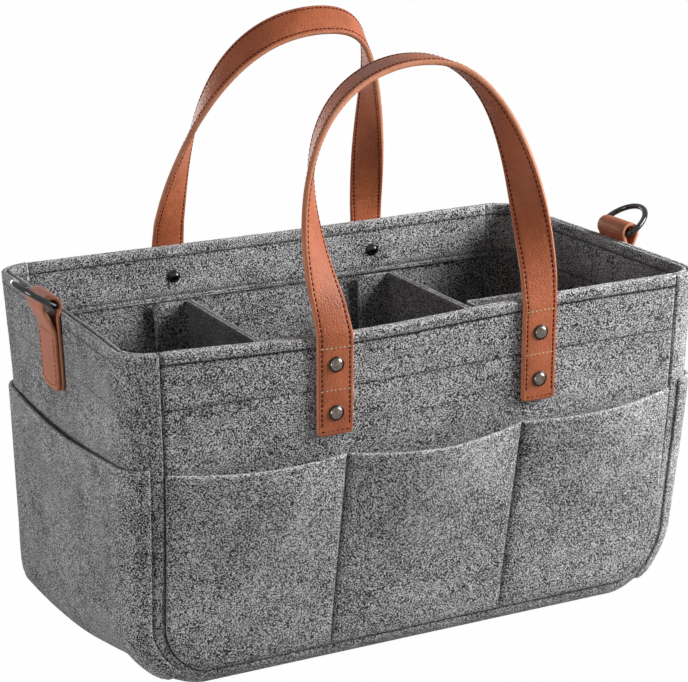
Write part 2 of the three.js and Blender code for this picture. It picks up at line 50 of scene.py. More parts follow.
print("frame loaded:", len(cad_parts), "nodes")


# small sums used all over

def spread(low, high, steps):
    return [low + (high - low) * k / steps for k in range(steps + 1)]


def mix(a, b, share):
    return a + (b - a) * share


def clamp(value, low=0.0, high=1.0):
    return max(low, min(high, value))


def ease(share):
    share = clamp(share)
    return share * share * (3 - 2 * share)


def bell(distance, width):
    return math.exp(-(distance / width) ** 2)


def circle(sides):
    return [2 * math.pi * k / sides for k in range(sides)]


# camera stands where the photo was taken from

photoCamera = {
    "place": (-0.4730, -1.0238, 0.4593),
    "back": (-0.4051, -0.8731, 0.2713),
    "roll": math.radians(-1.57),
    "focalPixels": 2120.8,
    "centre": (346.8, 341.2),
    "frame": (688, 682),
    "sensor": 36.0,
    "near": 0.05,
    "far": 50.0,
}


def makeCamera():
    data = bpy.data.cameras.new("photoCamera")
    camera = bpy.data.objects.new("photoCamera", data)
    scene.collection.objects.link(camera)
    wide, high = photoCamera["frame"]
    back = Vector(photoCamera["back"]).normalized()
    right = Vector((0, 0, 1)).cross(back).normalized()
    up = back.cross(right)
    turn, lift = math.cos(photoCamera["roll"]), math.sin(photoCamera["roll"])
    across = right * turn + up * lift
    above = up * turn - right * lift
    pose = Matrix((across, above, back)).transposed().to_4x4()
    pose.translation = Vector(photoCamera["place"])
    camera.matrix_world = pose
    data.sensor_width = photoCamera["sensor"]
    data.lens = photoCamera["focalPixels"] / wide * data.sensor_width
    data.shift_x = (wide / 2 - photoCamera["centre"][0]) / wide
    data.shift_y = (photoCamera["centre"][1] - high / 2) / wide
    data.clip_start = photoCamera["near"]
    data.clip_end = photoCamera["far"]
    scene.camera = camera


makeCamera()
print("camera placed")


# node helpers

def put(tree, kind, **settings):
    node = tree.nodes.new(kind)
    for key, value in settings.items():
        setattr(node, key, value)
    return node


def feed(tree, socket, value):
    if isinstance(value, bpy.types.NodeSocket):
        tree.links.new(value, socket)
    else:
        socket.default_value = value


def feedAll(tree, sockets, values):
    for label, value in values.items():
        feed(tree, sockets[label], value)


def calc(tree, operation, first, second=0.0):
    node = put(tree, "ShaderNodeMath", operation=operation)
    feed(tree, node.inputs[0], first)
    feed(tree, node.inputs[1], second)
    return node.outputs[0]


def times(tree, value, size):
    return calc(tree, "MULTIPLY", value, size)


def total(tree, first, *others):
    for other in others:
        first = calc(tree, "ADD", first, other)
    return first


def noiseAt(tree, vector, scale, detail=2.0, rough=0.6, distortion=0.0):
    node = put(tree, "ShaderNodeTexNoise")
    feedAll(tree, node.inputs, {"Vector": vector, "Scale": scale, "Distortion": distortion})
    feedAll(tree, node.inputs, {"Detail": detail, "Roughness": rough})
    return node.outputs["Fac"]


def bandsAt(tree, vector, direction, scale, distortion):
    node = put(tree, "ShaderNodeTexWave", wave_type="BANDS", bands_direction=direction)
    feedAll(tree, node.inputs, {"Vector": vector, "Scale": scale, "Distortion": distortion})
    return node.outputs["Fac"]


def rampOf(tree, value, stops):
    node = put(tree, "ShaderNodeValToRGB")
    feed(tree, node.inputs["Fac"], value)
    points = node.color_ramp.elements
    while len(points) < len(stops):
        points.new(0.5)
    for point, (place, colour) in zip(points, stops):
        point.position = place
        point.color = (*colour, 1)
    return node.outputs["Color"]


def blendColours(tree, share, first, second):
    node = put(tree, "ShaderNodeMix", data_type="RGBA")
    for place, value in ((0, share), (6, first), (7, second)):  # 6, 7 and output 2 are the colour sockets
        feed(tree, node.inputs[place], value)
    return node.outputs[2]


def bumped(tree, height, strength, distance):
    node = put(tree, "ShaderNodeBump")
    feedAll(tree, node.inputs, {"Strength": strength, "Distance": distance, "Height": height})
    return node.outputs["Normal"]


def newGroup(name, inputs, outputs):
    group = bpy.data.node_groups.new(name, "ShaderNodeTree")
    for label, kind, value in inputs:
        socket = group.interface.new_socket(label, in_out="INPUT", socket_type="NodeSocket" + kind)
        if value is not None:
            socket.default_value = value
    for label in outputs:
        group.interface.new_socket(label, in_out="OUTPUT", socket_type="NodeSocketFloat")
    return group, put(group, "NodeGroupInput").outputs, put(group, "NodeGroupOutput").inputs


def placeGroup(tree, group, **values):
    node = put(tree, "ShaderNodeGroup", node_tree=group)
    feedAll(tree, node.inputs, values)
    return node.outputs


def newFinish(name):
    finish = bpy.data.materials.new(name)
    finish.use_nodes = True
    tree = finish.node_tree
    tree.nodes.clear()
    shader = put(tree, "ShaderNodeBsdfPrincipled")
    out = put(tree, "ShaderNodeOutputMaterial")
    tree.links.new(shader.outputs[0], out.inputs["Surface"])
    place = put(tree, "ShaderNodeTexCoord").outputs["Object"]
    return finish, tree, shader.inputs, place


# heather: flecks of pale and dark wool, curled hairs over them, and slow mottling

wool = {
    "strandScale": 0.34,  # share of the fibre scale
    "clumpScale": 0.16,
    "patchScale": 3.4,  # share of the mottle scale
    "hairRidge": 9.0,  # more makes the hairs narrower
    "fleckTone": 6.0,
    "hairTone": 0.12,
    "clumpTone": 0.3,
    "patchTone": 0.6,
    "mottleTone": 0.8,
    "middleTone": 0.46,
    "clumpHeight": 0.7,
    "fleckHeight": 0.4,
    "hairHeight": 0.3,
}


def makeHeather():
    inputs = [("Vector", "Vector", None), ("Fibre", "Float", 2000.0), ("Mottle", "Float", 40.0)]
    group, given, sink = newGroup("heatherFibres", inputs, ["Tone", "Height"])
    spot, fine, broad = given["Vector"], given["Fibre"], given["Mottle"]

    def swing(value, size):
        return times(group, calc(group, "SUBTRACT", value, 0.5), wool[size])

    def share(value, size):
        return times(group, value, wool[size])

    fleck = noiseAt(group, spot, fine, detail=1.0, distortion=0.4)
    strand = noiseAt(group, spot, share(fine, "strandScale"), distortion=1.6)
    clump = noiseAt(group, spot, share(fine, "clumpScale"), detail=3.0, rough=0.65, distortion=0.8)
    patch = noiseAt(group, spot, share(broad, "patchScale"), detail=3.0, distortion=0.5)
    mottle = noiseAt(group, spot, broad, detail=3.0, distortion=0.4)
    offRidge = calc(group, "ABSOLUTE", swing(strand, "hairRidge"))
    hair = calc(group, "MAXIMUM", calc(group, "SUBTRACT", 1.0, offRidge), 0.0)
    quick = total(group, swing(fleck, "fleckTone"), share(hair, "hairTone"), swing(clump, "clumpTone"))
    slow = total(group, swing(patch, "patchTone"), swing(mottle, "mottleTone"))
    feed(group, sink["Tone"], total(group, quick, slow, wool["middleTone"]))
    height = total(group, share(clump, "clumpHeight"), share(fleck, "fleckHeight"), share(hair, "hairHeight"))
    feed(group, sink["Height"], height)
    return group


# hide: close pebbles with finer creases between them

hide = {
    "smooth": 0.5,
    "cloudScale": 0.045,  # shares of the pebble scale
    "creaseScale": 0.6,
    "creaseHeight": 0.6,
    "cloudTone": 0.7,
    "creaseTone": 0.3,
}


def makeHideGrain():
    inputs = [("Vector", "Vector", None), ("Pebble", "Float", 1100.0)]
    group, given, sink = newGroup("hideGrain", inputs, ["Tone", "Height"])
    spot, size = given["Vector"], given["Pebble"]
    cells = put(group, "ShaderNodeTexVoronoi", feature="SMOOTH_F1")
    feedAll(group, cells.inputs, {"Vector": spot, "Scale": size, "Smoothness": hide["smooth"]})
    cloud = noiseAt(group, spot, times(group, size, hide["cloudScale"]), detail=4.0, distortion=0.5)
    crease = noiseAt(group, spot, times(group, size, hide["creaseScale"]), detail=3.0, distortion=1.2)
    pebble = calc(group, "SUBTRACT", 1.0, cells.outputs["Distance"])
    feed(group, sink["Height"], total(group, pebble, times(group, crease, hide["creaseHeight"])))
    clouded, creased = times(group, cloud, hide["cloudTone"]), times(group, crease, hide["creaseTone"])
    feed(group, sink["Tone"], total(group, clouded, creased))
    return group


# tarnish: hazy patches and fine rub marks on plated metal

def makeTarnish(rubScale=9.0):
    inputs = [("Vector", "Vector", None), ("Patch", "Float", 380.0)]
    group, given, sink = newGroup("platingTarnish", inputs, ["Patch", "Rub"])
    spot, size = given["Vector"], given["Patch"]
    feed(group, sink["Patch"], noiseAt(group, spot, size, detail=4.0, rough=0.65, distortion=0.6))
    feed(group, sink["Rub"], noiseAt(group, spot, times(group, size, rubScale)))
    return group


# twist: two plies of thread laid round each other, with a little fuzz

def makeThreadTwist(wander=2.0, plyTone=0.6, fuzzTone=0.4):
    inputs = [("Vector", "Vector", None), ("Ply", "Float", 520.0), ("Fuzz", "Float", 2600.0)]
    group, given, sink = newGroup("threadTwist", inputs, ["Tone"])
    plies = bandsAt(group, given["Vector"], "DIAGONAL", given["Ply"], wander)
    fuzz = noiseAt(group, given["Vector"], given["Fuzz"])
    feed(group, sink["Tone"], total(group, times(group, plies, plyTone), times(group, fuzz, fuzzTone)))
    return group


heather = makeHeather()
hideGrain = makeHideGrain()
tarnish = makeTarnish()
threadTwist = makeThreadTwist()


# felt: heather colour, paler on cut edges where paler fibre ends show with a painted highlight, and painted
# shade where thread pulls the felt into a groove

# the colour of the painted shade in seams and stitch grooves
seamShade = (0.02, 0.02, 0.021, 1)


def feltFinish(name, look):
    finish, tree, shader, place = newFinish(name)
    fibres = placeGroup(tree, heather, Vector=place, Fibre=look["fibre"], Mottle=look["mottle"])
    colour = rampOf(tree, fibres["Tone"], look["tones"])
    # cut edges are paler for their fibre ends, and brighter still with a painted highlight where a rounded
    # edge catches the light
    edge = put(tree, "ShaderNodeAttribute", attribute_name="paleEdgeAndHighlight").outputs["Fac"]
    # painted shade: the pull mask darkens the felt towards seamShade along seams and stitch lines, where
    # shade falls in the groove
    pullAndShade = put(tree, "ShaderNodeAttribute", attribute_name="pullAndShade").outputs["Fac"]
    edgeAndHighlightColour = rampOf(tree, fibres["Tone"], look["edgeAndHighlightTones"])
    paler = blendColours(tree, times(tree, edge, look["edgePaleAndHighlight"]), colour, edgeAndHighlightColour)
    feedAll(tree, shader, {
        "Base Color": blendColours(tree, times(tree, pullAndShade, look["seamShadeDark"]), paler, seamShade),
        "Normal": bumped(tree, fibres["Height"], strength=0.4, distance=0.0006),
        "Roughness": 0.96,
        "Specular IOR Level": 0.15,
        "Sheen Weight": 0.12,
        "Sheen Roughness": 0.6,
    })
    return finish


def greys(*stops, cool=1.01):
    return [(place, (level, level, level * cool)) for place, level in stops]


felt = feltFinish("heatherFelt", {
    "fibre": 1600.0,
    "mottle": 32.0,
    "tones": greys((0.05, 0.004), (0.34, 0.043), (0.5, 0.107), (0.66, 0.222), (0.95, 0.62)),
    "edgeAndHighlightTones": greys((0.05, 0.05), (0.36, 0.2), (0.6, 0.42), (0.95, 0.88)),
    "edgePaleAndHighlight": 0.8,
    "seamShadeDark": 0.8,
})
dividerFelt = feltFinish("dividerFelt", {
    "fibre": 1600.0,
    "mottle": 36.0,
    "tones": greys((0.05, 0.004), (0.34, 0.042), (0.5, 0.105), (0.66, 0.22), (0.95, 0.62)),
    "edgeAndHighlightTones": greys((0.05, 0.04), (0.36, 0.16), (0.6, 0.34), (0.95, 0.75)),
    "edgePaleAndHighlight": 0.9,
    "seamShadeDark": 0.8,
})


# hook tape: rows of small stiff hooks

def hookTapeFinish(rowScale=260.0, wander=1.5, nubScale=1900.0):
    finish, tree, shader, place = newFinish("hookTape")
    nubs = noiseAt(tree, place, nubScale, detail=1.0, rough=0.5)
    height = times(tree, bandsAt(tree, place, "Z", rowScale, wander), nubs)
    feedAll(tree, shader, {
        "Base Color": rampOf(tree, height, greys((0.1, 0.03), (0.6, 0.11))),
        "Normal": bumped(tree, height, strength=0.8, distance=0.0008),
        "Roughness": 0.8,
    })
    return finish


hookTape = hookTapeFinish()


# leather: tan hide with pebbled grain and clouded colour

def leatherFinish(name, look, toneGloss=0.22):
    finish, tree, shader, place = newFinish(name)
    grain = placeGroup(tree, hideGrain, Vector=place, Pebble=look["pebble"])
    feedAll(tree, shader, {
        "Base Color": rampOf(tree, grain["Tone"], look["tones"]),
        "Roughness": total(tree, times(tree, grain["Tone"], toneGloss), look["rough"]),
        "Normal": bumped(tree, grain["Height"], look["bump"], distance=0.0004),
        "Specular IOR Level": look["shine"],
    })
    return finish


leather = leatherFinish("tanLeather", {
    "pebble": 980.0,
    "tones": [(0.25, (0.23, 0.057, 0.023)), (0.5, (0.38, 0.104, 0.043)), (0.78, (0.55, 0.168, 0.074))],
    "rough": 0.4,
    "bump": 0.55,
    "shine": 0.22,
})
# the edge faces of straps and tabs take a lighter colour than their faces
leatherEdge = leatherFinish("lighterStrapEdge", {
    "pebble": 700.0,
    "tones": [(0.25, (0.34, 0.12, 0.062)), (0.5, (0.5, 0.2, 0.112)), (0.78, (0.64, 0.3, 0.18))],
    "rough": 0.46,
    "bump": 0.22,
    "shine": 0.2,
})


# thread: a dark and a pale tone on the twist

def threadFinish(name, dark, pale):
    finish, tree, shader, place = newFinish(name)
    tone = placeGroup(tree, threadTwist, Vector=place, Ply=520.0, Fuzz=2600.0)["Tone"]
    feedAll(tree, shader, {
        "Base Color": rampOf(tree, tone, [(0.2, dark), (0.8, pale)]),
        "Normal": bumped(tree, tone, strength=0.5, distance=0.0002),
        "Roughness": 0.8,
        "Specular IOR Level": 0.1,
    })
    return finish


darkThread = threadFinish("charcoalThread", (0.012, 0.012, 0.013), (0.05, 0.05, 0.052))
greyThread = threadFinish("greyThread", (0.06, 0.06, 0.062), (0.15, 0.15, 0.155))
brownThread = threadFinish("brownThread", (0.022, 0.004, 0.003), (0.07, 0.012, 0.008))
tanThread = threadFinish("tanThread", (0.17, 0.054, 0.025), (0.3, 0.1, 0.046))
creamThread = threadFinish("creamThread", (0.38, 0.27, 0.17), (0.66, 0.52, 0.36))


# plated metal

def metalFinish(name, look):
    finish, tree, shader, place = newFinish(name)
    marks = placeGroup(tree, tarnish, Vector=place, Patch=look["patch"])
    feedAll(tree, shader, {
        "Base Color": rampOf(tree, marks["Patch"], look["tones"]),
        "Roughness": total(tree, times(tree, marks["Patch"], look["haze"]), look["rough"]),
        "Normal": bumped(tree, marks["Rub"], strength=0.08, distance=0.0001),
        "Metallic": 1.0,
        "Specular Tint": (*look["grazing"], 1),
        "Coat Weight": look["coat"],
        "Coat Roughness": 0.12,
    })
    return finish


nickel = metalFinish("antiqueNickel", {
    "patch": 420.0,
    "tones": [(0.3, (0.085, 0.068, 0.056)), (0.55, (0.17, 0.142, 0.122)), (0.75, (0.26, 0.225, 0.2))],
    "haze": 0.2,
    "rough": 0.12,
    "grazing": (0.7, 0.66, 0.62),
    "coat": 0.2,
})
# the caps' flange ring: near black, painted shade round the foot of each dome
flangeShadeNickel = metalFinish("paintedShadeNickel", {
    "patch": 420.0,
    "tones": [(0.3, (0.016, 0.013, 0.012)), (0.7, (0.05, 0.042, 0.037))],
    "haze": 0.25,
    "rough": 0.25,
    "grazing": (0.3, 0.28, 0.26),
    "coat": 0.05,
})
blackNickel = metalFinish("blackNickel", {
    "patch": 300.0,
    "tones": [(0.3, (0.012, 0.012, 0.013)), (0.7, (0.035, 0.035, 0.038))],
    "haze": 0.1,
    "rough": 0.05,
    "grazing": (0.4, 0.4, 0.4),
    "coat": 0.5,
})
print("finishes ready:", len(bpy.data.materials))


# body of the caddy: the sizes that every felt piece follows

caddy = {
    "rimLength": 330.0,
    "rimDepth": 215.0,
    "baseLength": 322.0,
    "baseDepth": 190.0,
    "height": 183.0,
    "felt": 3.0,
    "endCurl": 18.0,
    "baseCurl": 10.0,
    "corner": 40.0,
    "gap": 0.3,
    "lip": 1.4,  # the gusset stands proud beside its seams, less towards the right
    "lipRight": 0.15,
    "lipFrom": 60.0,
    "lipSpan": 120.0,
    "lipWidth": 5.0,
    "facing": 2.5,
    "facingHeight": 32.0,
    "rimStitch": 6.0,  # below the rim
    "facingStitch": 29.8,
    "insideStitch": 1.4,  # the inside line lies this far above the outside one
    "acrossEnd": 26,  # mesh steps across an end
}
slump = {
    "frontSag": 4.6,
    "sagMiddle": -45.0,
    "sagWidth": 85.0,
    "backSag": 1.0,
    "backSagWidth": 120.0,
    "sagPower": 4,  # more keeps the sag nearer the rim
    "sagStart": 0.6,  # share of the flat depth that doesn't sag
    "ripple": 0.8,
    "rippleAlong": 0.6,
    "rippleSize": 62.0,
    "frontCorner": 1.75,  # 2 keeps the bottom corners round, more makes them squarer
    "backCorner": 6.5,
    "cornerFrom": -70.0,
    "cornerSpan": 150.0,
    "lean": 4.0,  # the base stands this far to the left of the rim
    "leanTop": 140.0,
    "leanSpan": 100.0,
    "tuckFrom": 136.0,  # beyond this x the right end is drawn in, low down
    "tuckEase": 6.0,
    "tuck": 0.2,
    "frontFrom": 52.0,  # the right end leans only towards the front, clear of the cross divider
    "frontWidth": 40.0,
    "rightSeamEase": 0.8,
    "easeFromX": 60.0,
    "easeFromZ": 80.0,
    "easeSpan": 60.0,
}

halfLength = caddy["baseLength"] / 2
halfDepth = caddy["baseDepth"] / 2
lengthFlare = (caddy["rimLength"] - caddy["baseLength"]) / 2
depthFlare = (caddy["rimDepth"] - caddy["baseDepth"]) / 2
flatHalf = halfDepth - caddy["endCurl"]
wallSlope = math.atan2(depthFlare, caddy["height"])
endSlope = math.atan2(lengthFlare, caddy["height"])
rimStitchZ = caddy["height"] - caddy["rimStitch"]
facingStitchZ = caddy["height"] - caddy["facingStitch"]
insideStitchZ = facingStitchZ + caddy["insideStitch"]
facingLow = caddy["height"] - caddy["facingHeight"]
seamHalf = halfLength - caddy["endCurl"] - caddy["gap"]
cornerX = halfLength - caddy["corner"]


def flare(x, y, z):
    share = z / caddy["height"]
    side = clamp(y / flatHalf, -1, 1)
    return Vector((x * (1 + lengthFlare / halfLength * share), y + side * depthFlare * share, z))


def ripple(point):
    high = clamp(point.z / caddy["height"])
    wave = noise.noise_vector(point / slump["rippleSize"])
    return Vector((wave.x * slump["rippleAlong"], wave.y, 0)) * slump["ripple"] * ease(high)


def rimSag(x, y):
    if y > 0:
        return slump["backSag"] * bell(x, slump["backSagWidth"])
    return slump["frontSag"] * bell(x - slump["sagMiddle"], slump["sagWidth"])


def squareCorner(point):
    out, down = abs(point.x) - cornerX, caddy["corner"] - point.z
    if out <= 0 or down <= 0:
        return point
    backward = ease((point.y - slump["cornerFrom"]) / slump["cornerSpan"])
    power = mix(slump["frontCorner"], slump["backCorner"], backward)
    reach = math.hypot(out, down)
    grow = ((out / reach) ** power + (down / reach) ** power) ** (-1 / power)
    return Vector((math.copysign(cornerX + out * grow, point.x), point.y, caddy["corner"] - down * grow))


def sagAt(point):
    high = clamp(point.z / caddy["height"])
    still = flatHalf * slump["sagStart"]
    edge = ease((abs(point.y) - still) / (halfDepth - still))
    return Vector((0, 0, -rimSag(point.x, point.y) * high ** slump["sagPower"] * edge))


def lean(point):
    low = 1 - ease(point.z / slump["leanTop"])
    past = max(point.x - slump["tuckFrom"], 0.0)
    tuck = slump["tuck"] * past ** 2 / (past + slump["tuckEase"])
    front = ease((-point.y - slump["frontFrom"]) / slump["frontWidth"])
    hold = mix(1.0, front, ease(point.x / slump["leanSpan"]))
    return Vector((-low * hold * (slump["lean"] + tuck), 0, 0))


def settle(point):
    return squareCorner(point) + ripple(point) + sagAt(point) + lean(point)


def settled(grid):
    return [[settle(point) for point in row] for row in grid]


def turnHalf(point):
    return Vector((-point.x, -point.y, point.z))


def bothWalls(rows):  # the front rows, and the same rows turned to the back
    backRows = [[turnHalf(point) for point in row] for row in rows]
    return ("front", settled(rows)), ("back", settled(backRows))


# stations: places along the strip that goes down one end, under the base and up the other

def endStation(side, z):
    return {"x": side * halfLength, "z": z, "out": (side, 0.0), "curl": caddy["endCurl"]}


def cornerStation(side, angle):
    out = (side * math.cos(angle), -math.sin(angle))
    curl = mix(caddy["endCurl"], caddy["baseCurl"], angle / (math.pi / 2))
    x = side * cornerX + out[0] * caddy["corner"]
    return {"x": x, "z": caddy["corner"] + out[1] * caddy["corner"], "out": out, "curl": curl}


def baseStation(x):
    return {"x": x, "z": 0.0, "out": (0.0, -1.0), "curl": caddy["baseCurl"]}


def curlPoint(station, side, angle, lift):
    radius = station["curl"] + lift
    y = side * (halfDepth - station["curl"] + radius * math.cos(angle))
    depth = station["curl"] - radius * math.sin(angle)
    return flare(station["x"] - station["out"][0] * depth, y, station["z"] - station["out"][1] * depth)


def flatPoint(station, y, lift):
    return flare(station["x"] + station["out"][0] * lift, y, station["z"] + station["out"][1] * lift)


def acrossFlat(station):
    half = halfDepth - station["curl"]
    return spread(-half, half, caddy["acrossEnd"])[1:-1]


def lipAt(x):
    leftward = ease((caddy["lipFrom"] - x) / caddy["lipSpan"])
    return caddy["lip"] * mix(caddy["lipRight"], 1.0, leftward)


def gussetRow(station, lift, angles, lip=0.0):
    curl = [(angle, lift + lip * bell(angle * station["curl"], caddy["lipWidth"])) for angle in angles]
    near = [curlPoint(station, -1, angle, raised) for angle, raised in curl]
    far = [curlPoint(station, 1, angle, raised) for angle, raised in reversed(curl)]
    return near + [flatPoint(station, y, lift) for y in acrossFlat(station)] + far


# mesh helpers

def addPiece(name, points, faces, finishes, body="caddy_body", nodes=(), faceFinish=None):
    mesh = bpy.data.meshes.new(name)
    mesh.from_pydata([tuple(point * mm) for point in points], [], faces)
    for finish in finishes:
        mesh.materials.append(finish)
    if faceFinish:
        mesh.polygons.foreach_set("material_index", faceFinish)
    shell = bmesh.new()
    shell.from_mesh(mesh)
    bmesh.ops.recalc_face_normals(shell, faces=shell.faces)
    shell.to_mesh(mesh)
    shell.free()
    mesh.shade_smooth()
    piece = bpy.data.objects.new(name, mesh)
    scene.collection.objects.link(piece)
    if body:
        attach(piece, body)
    if nodes:
        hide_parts(*nodes)
    return piece


def paintPoints(piece, name, values):
    layer = piece.data.attributes.new(name, "FLOAT", "POINT")
    layer.data.foreach_set("value", values)


def stripFaces(loops):  # quads between each closed loop of points and the next
    faces = []
    count = len(loops[0])
    for first, second in zip(loops, loops[1:]):
        for k in range(count):
            n = (k + 1) % count
            faces.append([first[k], first[n], second[n], second[k]])
    return faces


def tubeFaces(rings, sides, closed=False):
    loops = [list(range(k * sides, (k + 1) * sides)) for k in range(rings)]
    if closed:
        return stripFaces(loops + loops[:1])
    return stripFaces(loops) + [loops[0], loops[-1]]


def mirrored(quarter):  # a quarter of a strip's section, copied to the other three
    upper = quarter + [(-w, t) for w, t in reversed(quarter[:-1])]
    return upper + [(w, -t) for w, t in reversed(upper[1:-1])]


# felt sheets: a grid of points given thickness, with a rounded fuzzy edge

feltEdge = {
    "round": 0.5,
    "steps": 4,
    "fuzz": 0.18,
    "fuzzScale": 0.9,
    "dent": 0.4,
    "lip": 0.3,  # the painted seam shade is weaker along a border, so a lip stays pale beside a seam
    "border": 0.5,  # share of the edge's paler colour and painted highlight along the border of each face
}


def borderOf(rows, cols):
    top = [(0, c) for c in range(cols)]
    right = [(r, cols - 1) for r in range(1, rows)]
    bottom = [(rows - 1, c) for c in range(cols - 2, -1, -1)]
    left = [(r, 0) for r in range(rows - 2, 0, -1)]
    return top + right + bottom + left


def gridNormal(grid, row, col):
    rows, cols = len(grid), len(grid[0])
    along = grid[row][min(col + 1, cols - 1)] - grid[row][max(col - 1, 0)]
    down = grid[min(row + 1, rows - 1)][col] - grid[max(row - 1, 0)][col]
    return along.cross(down).normalized()


def gridFaces(rows, cols):  # both faces of a sheet, the far one after the near one
    faces = []
    back = rows * cols
    for r in range(rows - 1):
        for c in range(cols - 1):
            quad = [r * cols + c, r * cols + c + 1, (r + 1) * cols + c + 1, (r + 1) * cols + c]
            faces.append(quad)
            faces.append([back + k for k in reversed(quad)])
    return faces


def sewnReach(grid, r, c):  # to the nearest of the two sides and the bottom row
    spot = grid[r][c]
    return min((spot - grid[r][0]).length, (spot - grid[r][-1]).length, (spot - grid[0][c]).length)


def nowhere(row, col):
    return 0.0


def feltSheet(name, grid, thick, finish, nodes=(), body="caddy_body", slot="felt",
              pullAndShade=nowhere, press=nowhere, hemPaleAndHighlight=nowhere, face=1):
    rows, cols = len(grid), len(grid[0])
    cells = [(r, c) for r in range(rows) for c in range(cols)]
    border = borderOf(rows, cols)
    pullsAndShade = {cell: pullAndShade(*cell) for cell in cells}
    sunk = {cell: thick * press(*cell) for cell in cells}
    normals = {cell: gridNormal(grid, *cell) for cell in cells}
    middle = {(r, c): grid[r][c] - normals[r, c] * face * sunk[r, c] / 2 for r, c in cells}
    half = {cell: (thick - sunk[cell]) / 2 * (1 - feltEdge["dent"] * pullsAndShade[cell]) for cell in cells}
    outward = {}
    for r, c in border:
        inside = grid[min(max(r, 1), rows - 2)][min(max(c, 1), cols - 2)]
        outward[r, c] = (grid[r][c] - inside).normalized() * half[r, c] * feltEdge["round"]
        middle[r, c] -= outward[r, c]
    points, paleEdgesAndHighlights, seamShadeMask = [], [], []
    for side in (1, -1):
        for cell in cells:
            points.append(middle[cell] + normals[cell] * side * half[cell])
            # paler colour with painted highlight: a share on the border, and the hem band on facings
            paleEdgesAndHighlights.append(max(feltEdge["border"] if cell in outward else 0.0, hemPaleAndHighlight(*cell)))
            # the painted shade mask: seams and stitch lines, weaker on the border
            seamShadeMask.append(pullsAndShade[cell] * (feltEdge["lip"] if cell in outward else 1.0))
    loops = [[r * cols + c for r, c in border]]
    for step in range(1, feltEdge["steps"]):
        turn = math.pi * step / feltEdge["steps"]
        loops.append([len(points) + k for k in range(len(border))])
        for cell in border:
            point = middle[cell] + outward[cell] * math.sin(turn)
            point += normals[cell] * half[cell] * math.cos(turn)
            points.append(point + noise.noise_vector(point * feltEdge["fuzzScale"]) * feltEdge["fuzz"])
            paleEdgesAndHighlights.append(1.0)
            seamShadeMask.append(pullsAndShade[cell])
    loops.append([rows * cols + k for k in loops[0]])
    faces = gridFaces(rows, cols) + stripFaces(loops)
    piece = addPiece(name, points, faces, [finish], body, nodes)
    paintPoints(piece, "paleEdgeAndHighlight", paleEdgesAndHighlights)
    paintPoints(piece, "pullAndShade", seamShadeMask)
    return piece


# rows of the walls: closer together where a stitch line pulls the felt in

wallStitch = {
    "rowStep": 1.1,
    "between": (25.0, 13.0),  # below the rim: where the rows between the two lines begin and end
    "edge": 2.0,
    "below": 5.0,
    "hemStep": 0.8,
    "width": 0.8,
    # the pulls below dent the felt and also set its painted shade
    "rimPull": 0.85,
    "facingPullAndShade": 0.5,
    "endShare": 0.3,  # how much of that pull shows on the ends
    "seamWidth": 0.8,
}
evenTop = facingStitchZ - wallStitch["below"]  # the walls' rows are even up to here


def stitchRows(middle):
    return [middle + wallStitch["rowStep"] * k for k in range(-2, 3)]


def upperRows(lowerLine):
    start, end = wallStitch["between"]
    between = spread(caddy["height"] - start, caddy["height"] - end, 3)
    top = [caddy["height"] - wallStitch["edge"], caddy["height"]]
    return stitchRows(lowerLine) + between + stitchRows(rimStitchZ) + top


wallUpper = upperRows(facingStitchZ)
facingRows = [facingLow + wallStitch["hemStep"] * k for k in range(3)] + upperRows(insideStitchZ)


# a stitch line's pull dents the felt and paints a line of shade along it
def wallPullAndShade(z):
    rim = wallStitch["rimPull"] * bell(z - rimStitchZ, wallStitch["width"])
    return rim + wallStitch["facingPullAndShade"] * bell(z - facingStitchZ, wallStitch["width"])


def seamDraw(spot):  # how hard the seam pulls, which dents the felt and darkens it with painted shade: least near the rim on the right
    rightward = ease((spot.x - slump["easeFromX"]) / slump["easeSpan"])
    upward = ease((spot.z - slump["easeFromZ"]) / slump["easeSpan"])
    return 1 - slump["rightSeamEase"] * rightward * upward


# gusset: one strip for both ends and the base

gussetMesh = {
    "seamAngles": (0, 0.035, 0.08),  # closer beside the seams
    "firstAngle": 0.15,
    "curlSteps": 11,
    "endSteps": 24,
    "cornerSteps": 18,
    "baseSteps": 44,
    "seamWidth": 0.7,
}


def gussetStations():
    lower = spread(evenTop, caddy["corner"], gussetMesh["endSteps"])
    leftEnd = [endStation(-1, z) for z in [*reversed(wallUpper), *lower]]
    corner = spread(0, math.pi / 2, gussetMesh["cornerSteps"])[1:]
    leftTurn = [cornerStation(-1, angle) for angle in corner]
    base = [baseStation(x) for x in spread(-cornerX, cornerX, gussetMesh["baseSteps"])[1:-1]]
    rightTurn = [cornerStation(1, angle) for angle in reversed(corner)]
    rightEnd = [dict(station, x=-station["x"], out=(1, 0.0)) for station in reversed(leftEnd)]
    return leftEnd + leftTurn + base + rightTurn + rightEnd


def makeGusset():
    curled = spread(gussetMesh["firstAngle"], math.pi / 2, gussetMesh["curlSteps"])
    angles = [*gussetMesh["seamAngles"], *curled]
    stations = gussetStations()
    lift = -caddy["felt"] / 2
    grid = settled([gussetRow(station, lift, angles, lipAt(station["x"])) for station in stations])
    last = len(grid[0]) - 1

    def pullAndShade(row, col):
        station = stations[row]
        inwards = min(col, last - col)
        turn = angles[inwards] if inwards < len(angles) else math.pi
        seam = seamDraw(grid[row][col]) * bell(turn * station["curl"], gussetMesh["seamWidth"])
        return max(wallStitch["endShare"] * wallPullAndShade(station["z"]), seam)

    piece = feltSheet("gusset_felt", grid, caddy["felt"], felt, ["gusset"], pullAndShade=pullAndShade)


makeGusset()


# front and back panels

panelMesh = {"seamShares": (0, 0.008, 0.02), "firstShare": 0.04, "rows": 24, "cornerSteps": 14, "columns": 40}
panelShares = [*panelMesh["seamShares"], *spread(panelMesh["firstShare"], 1, panelMesh["rows"])]


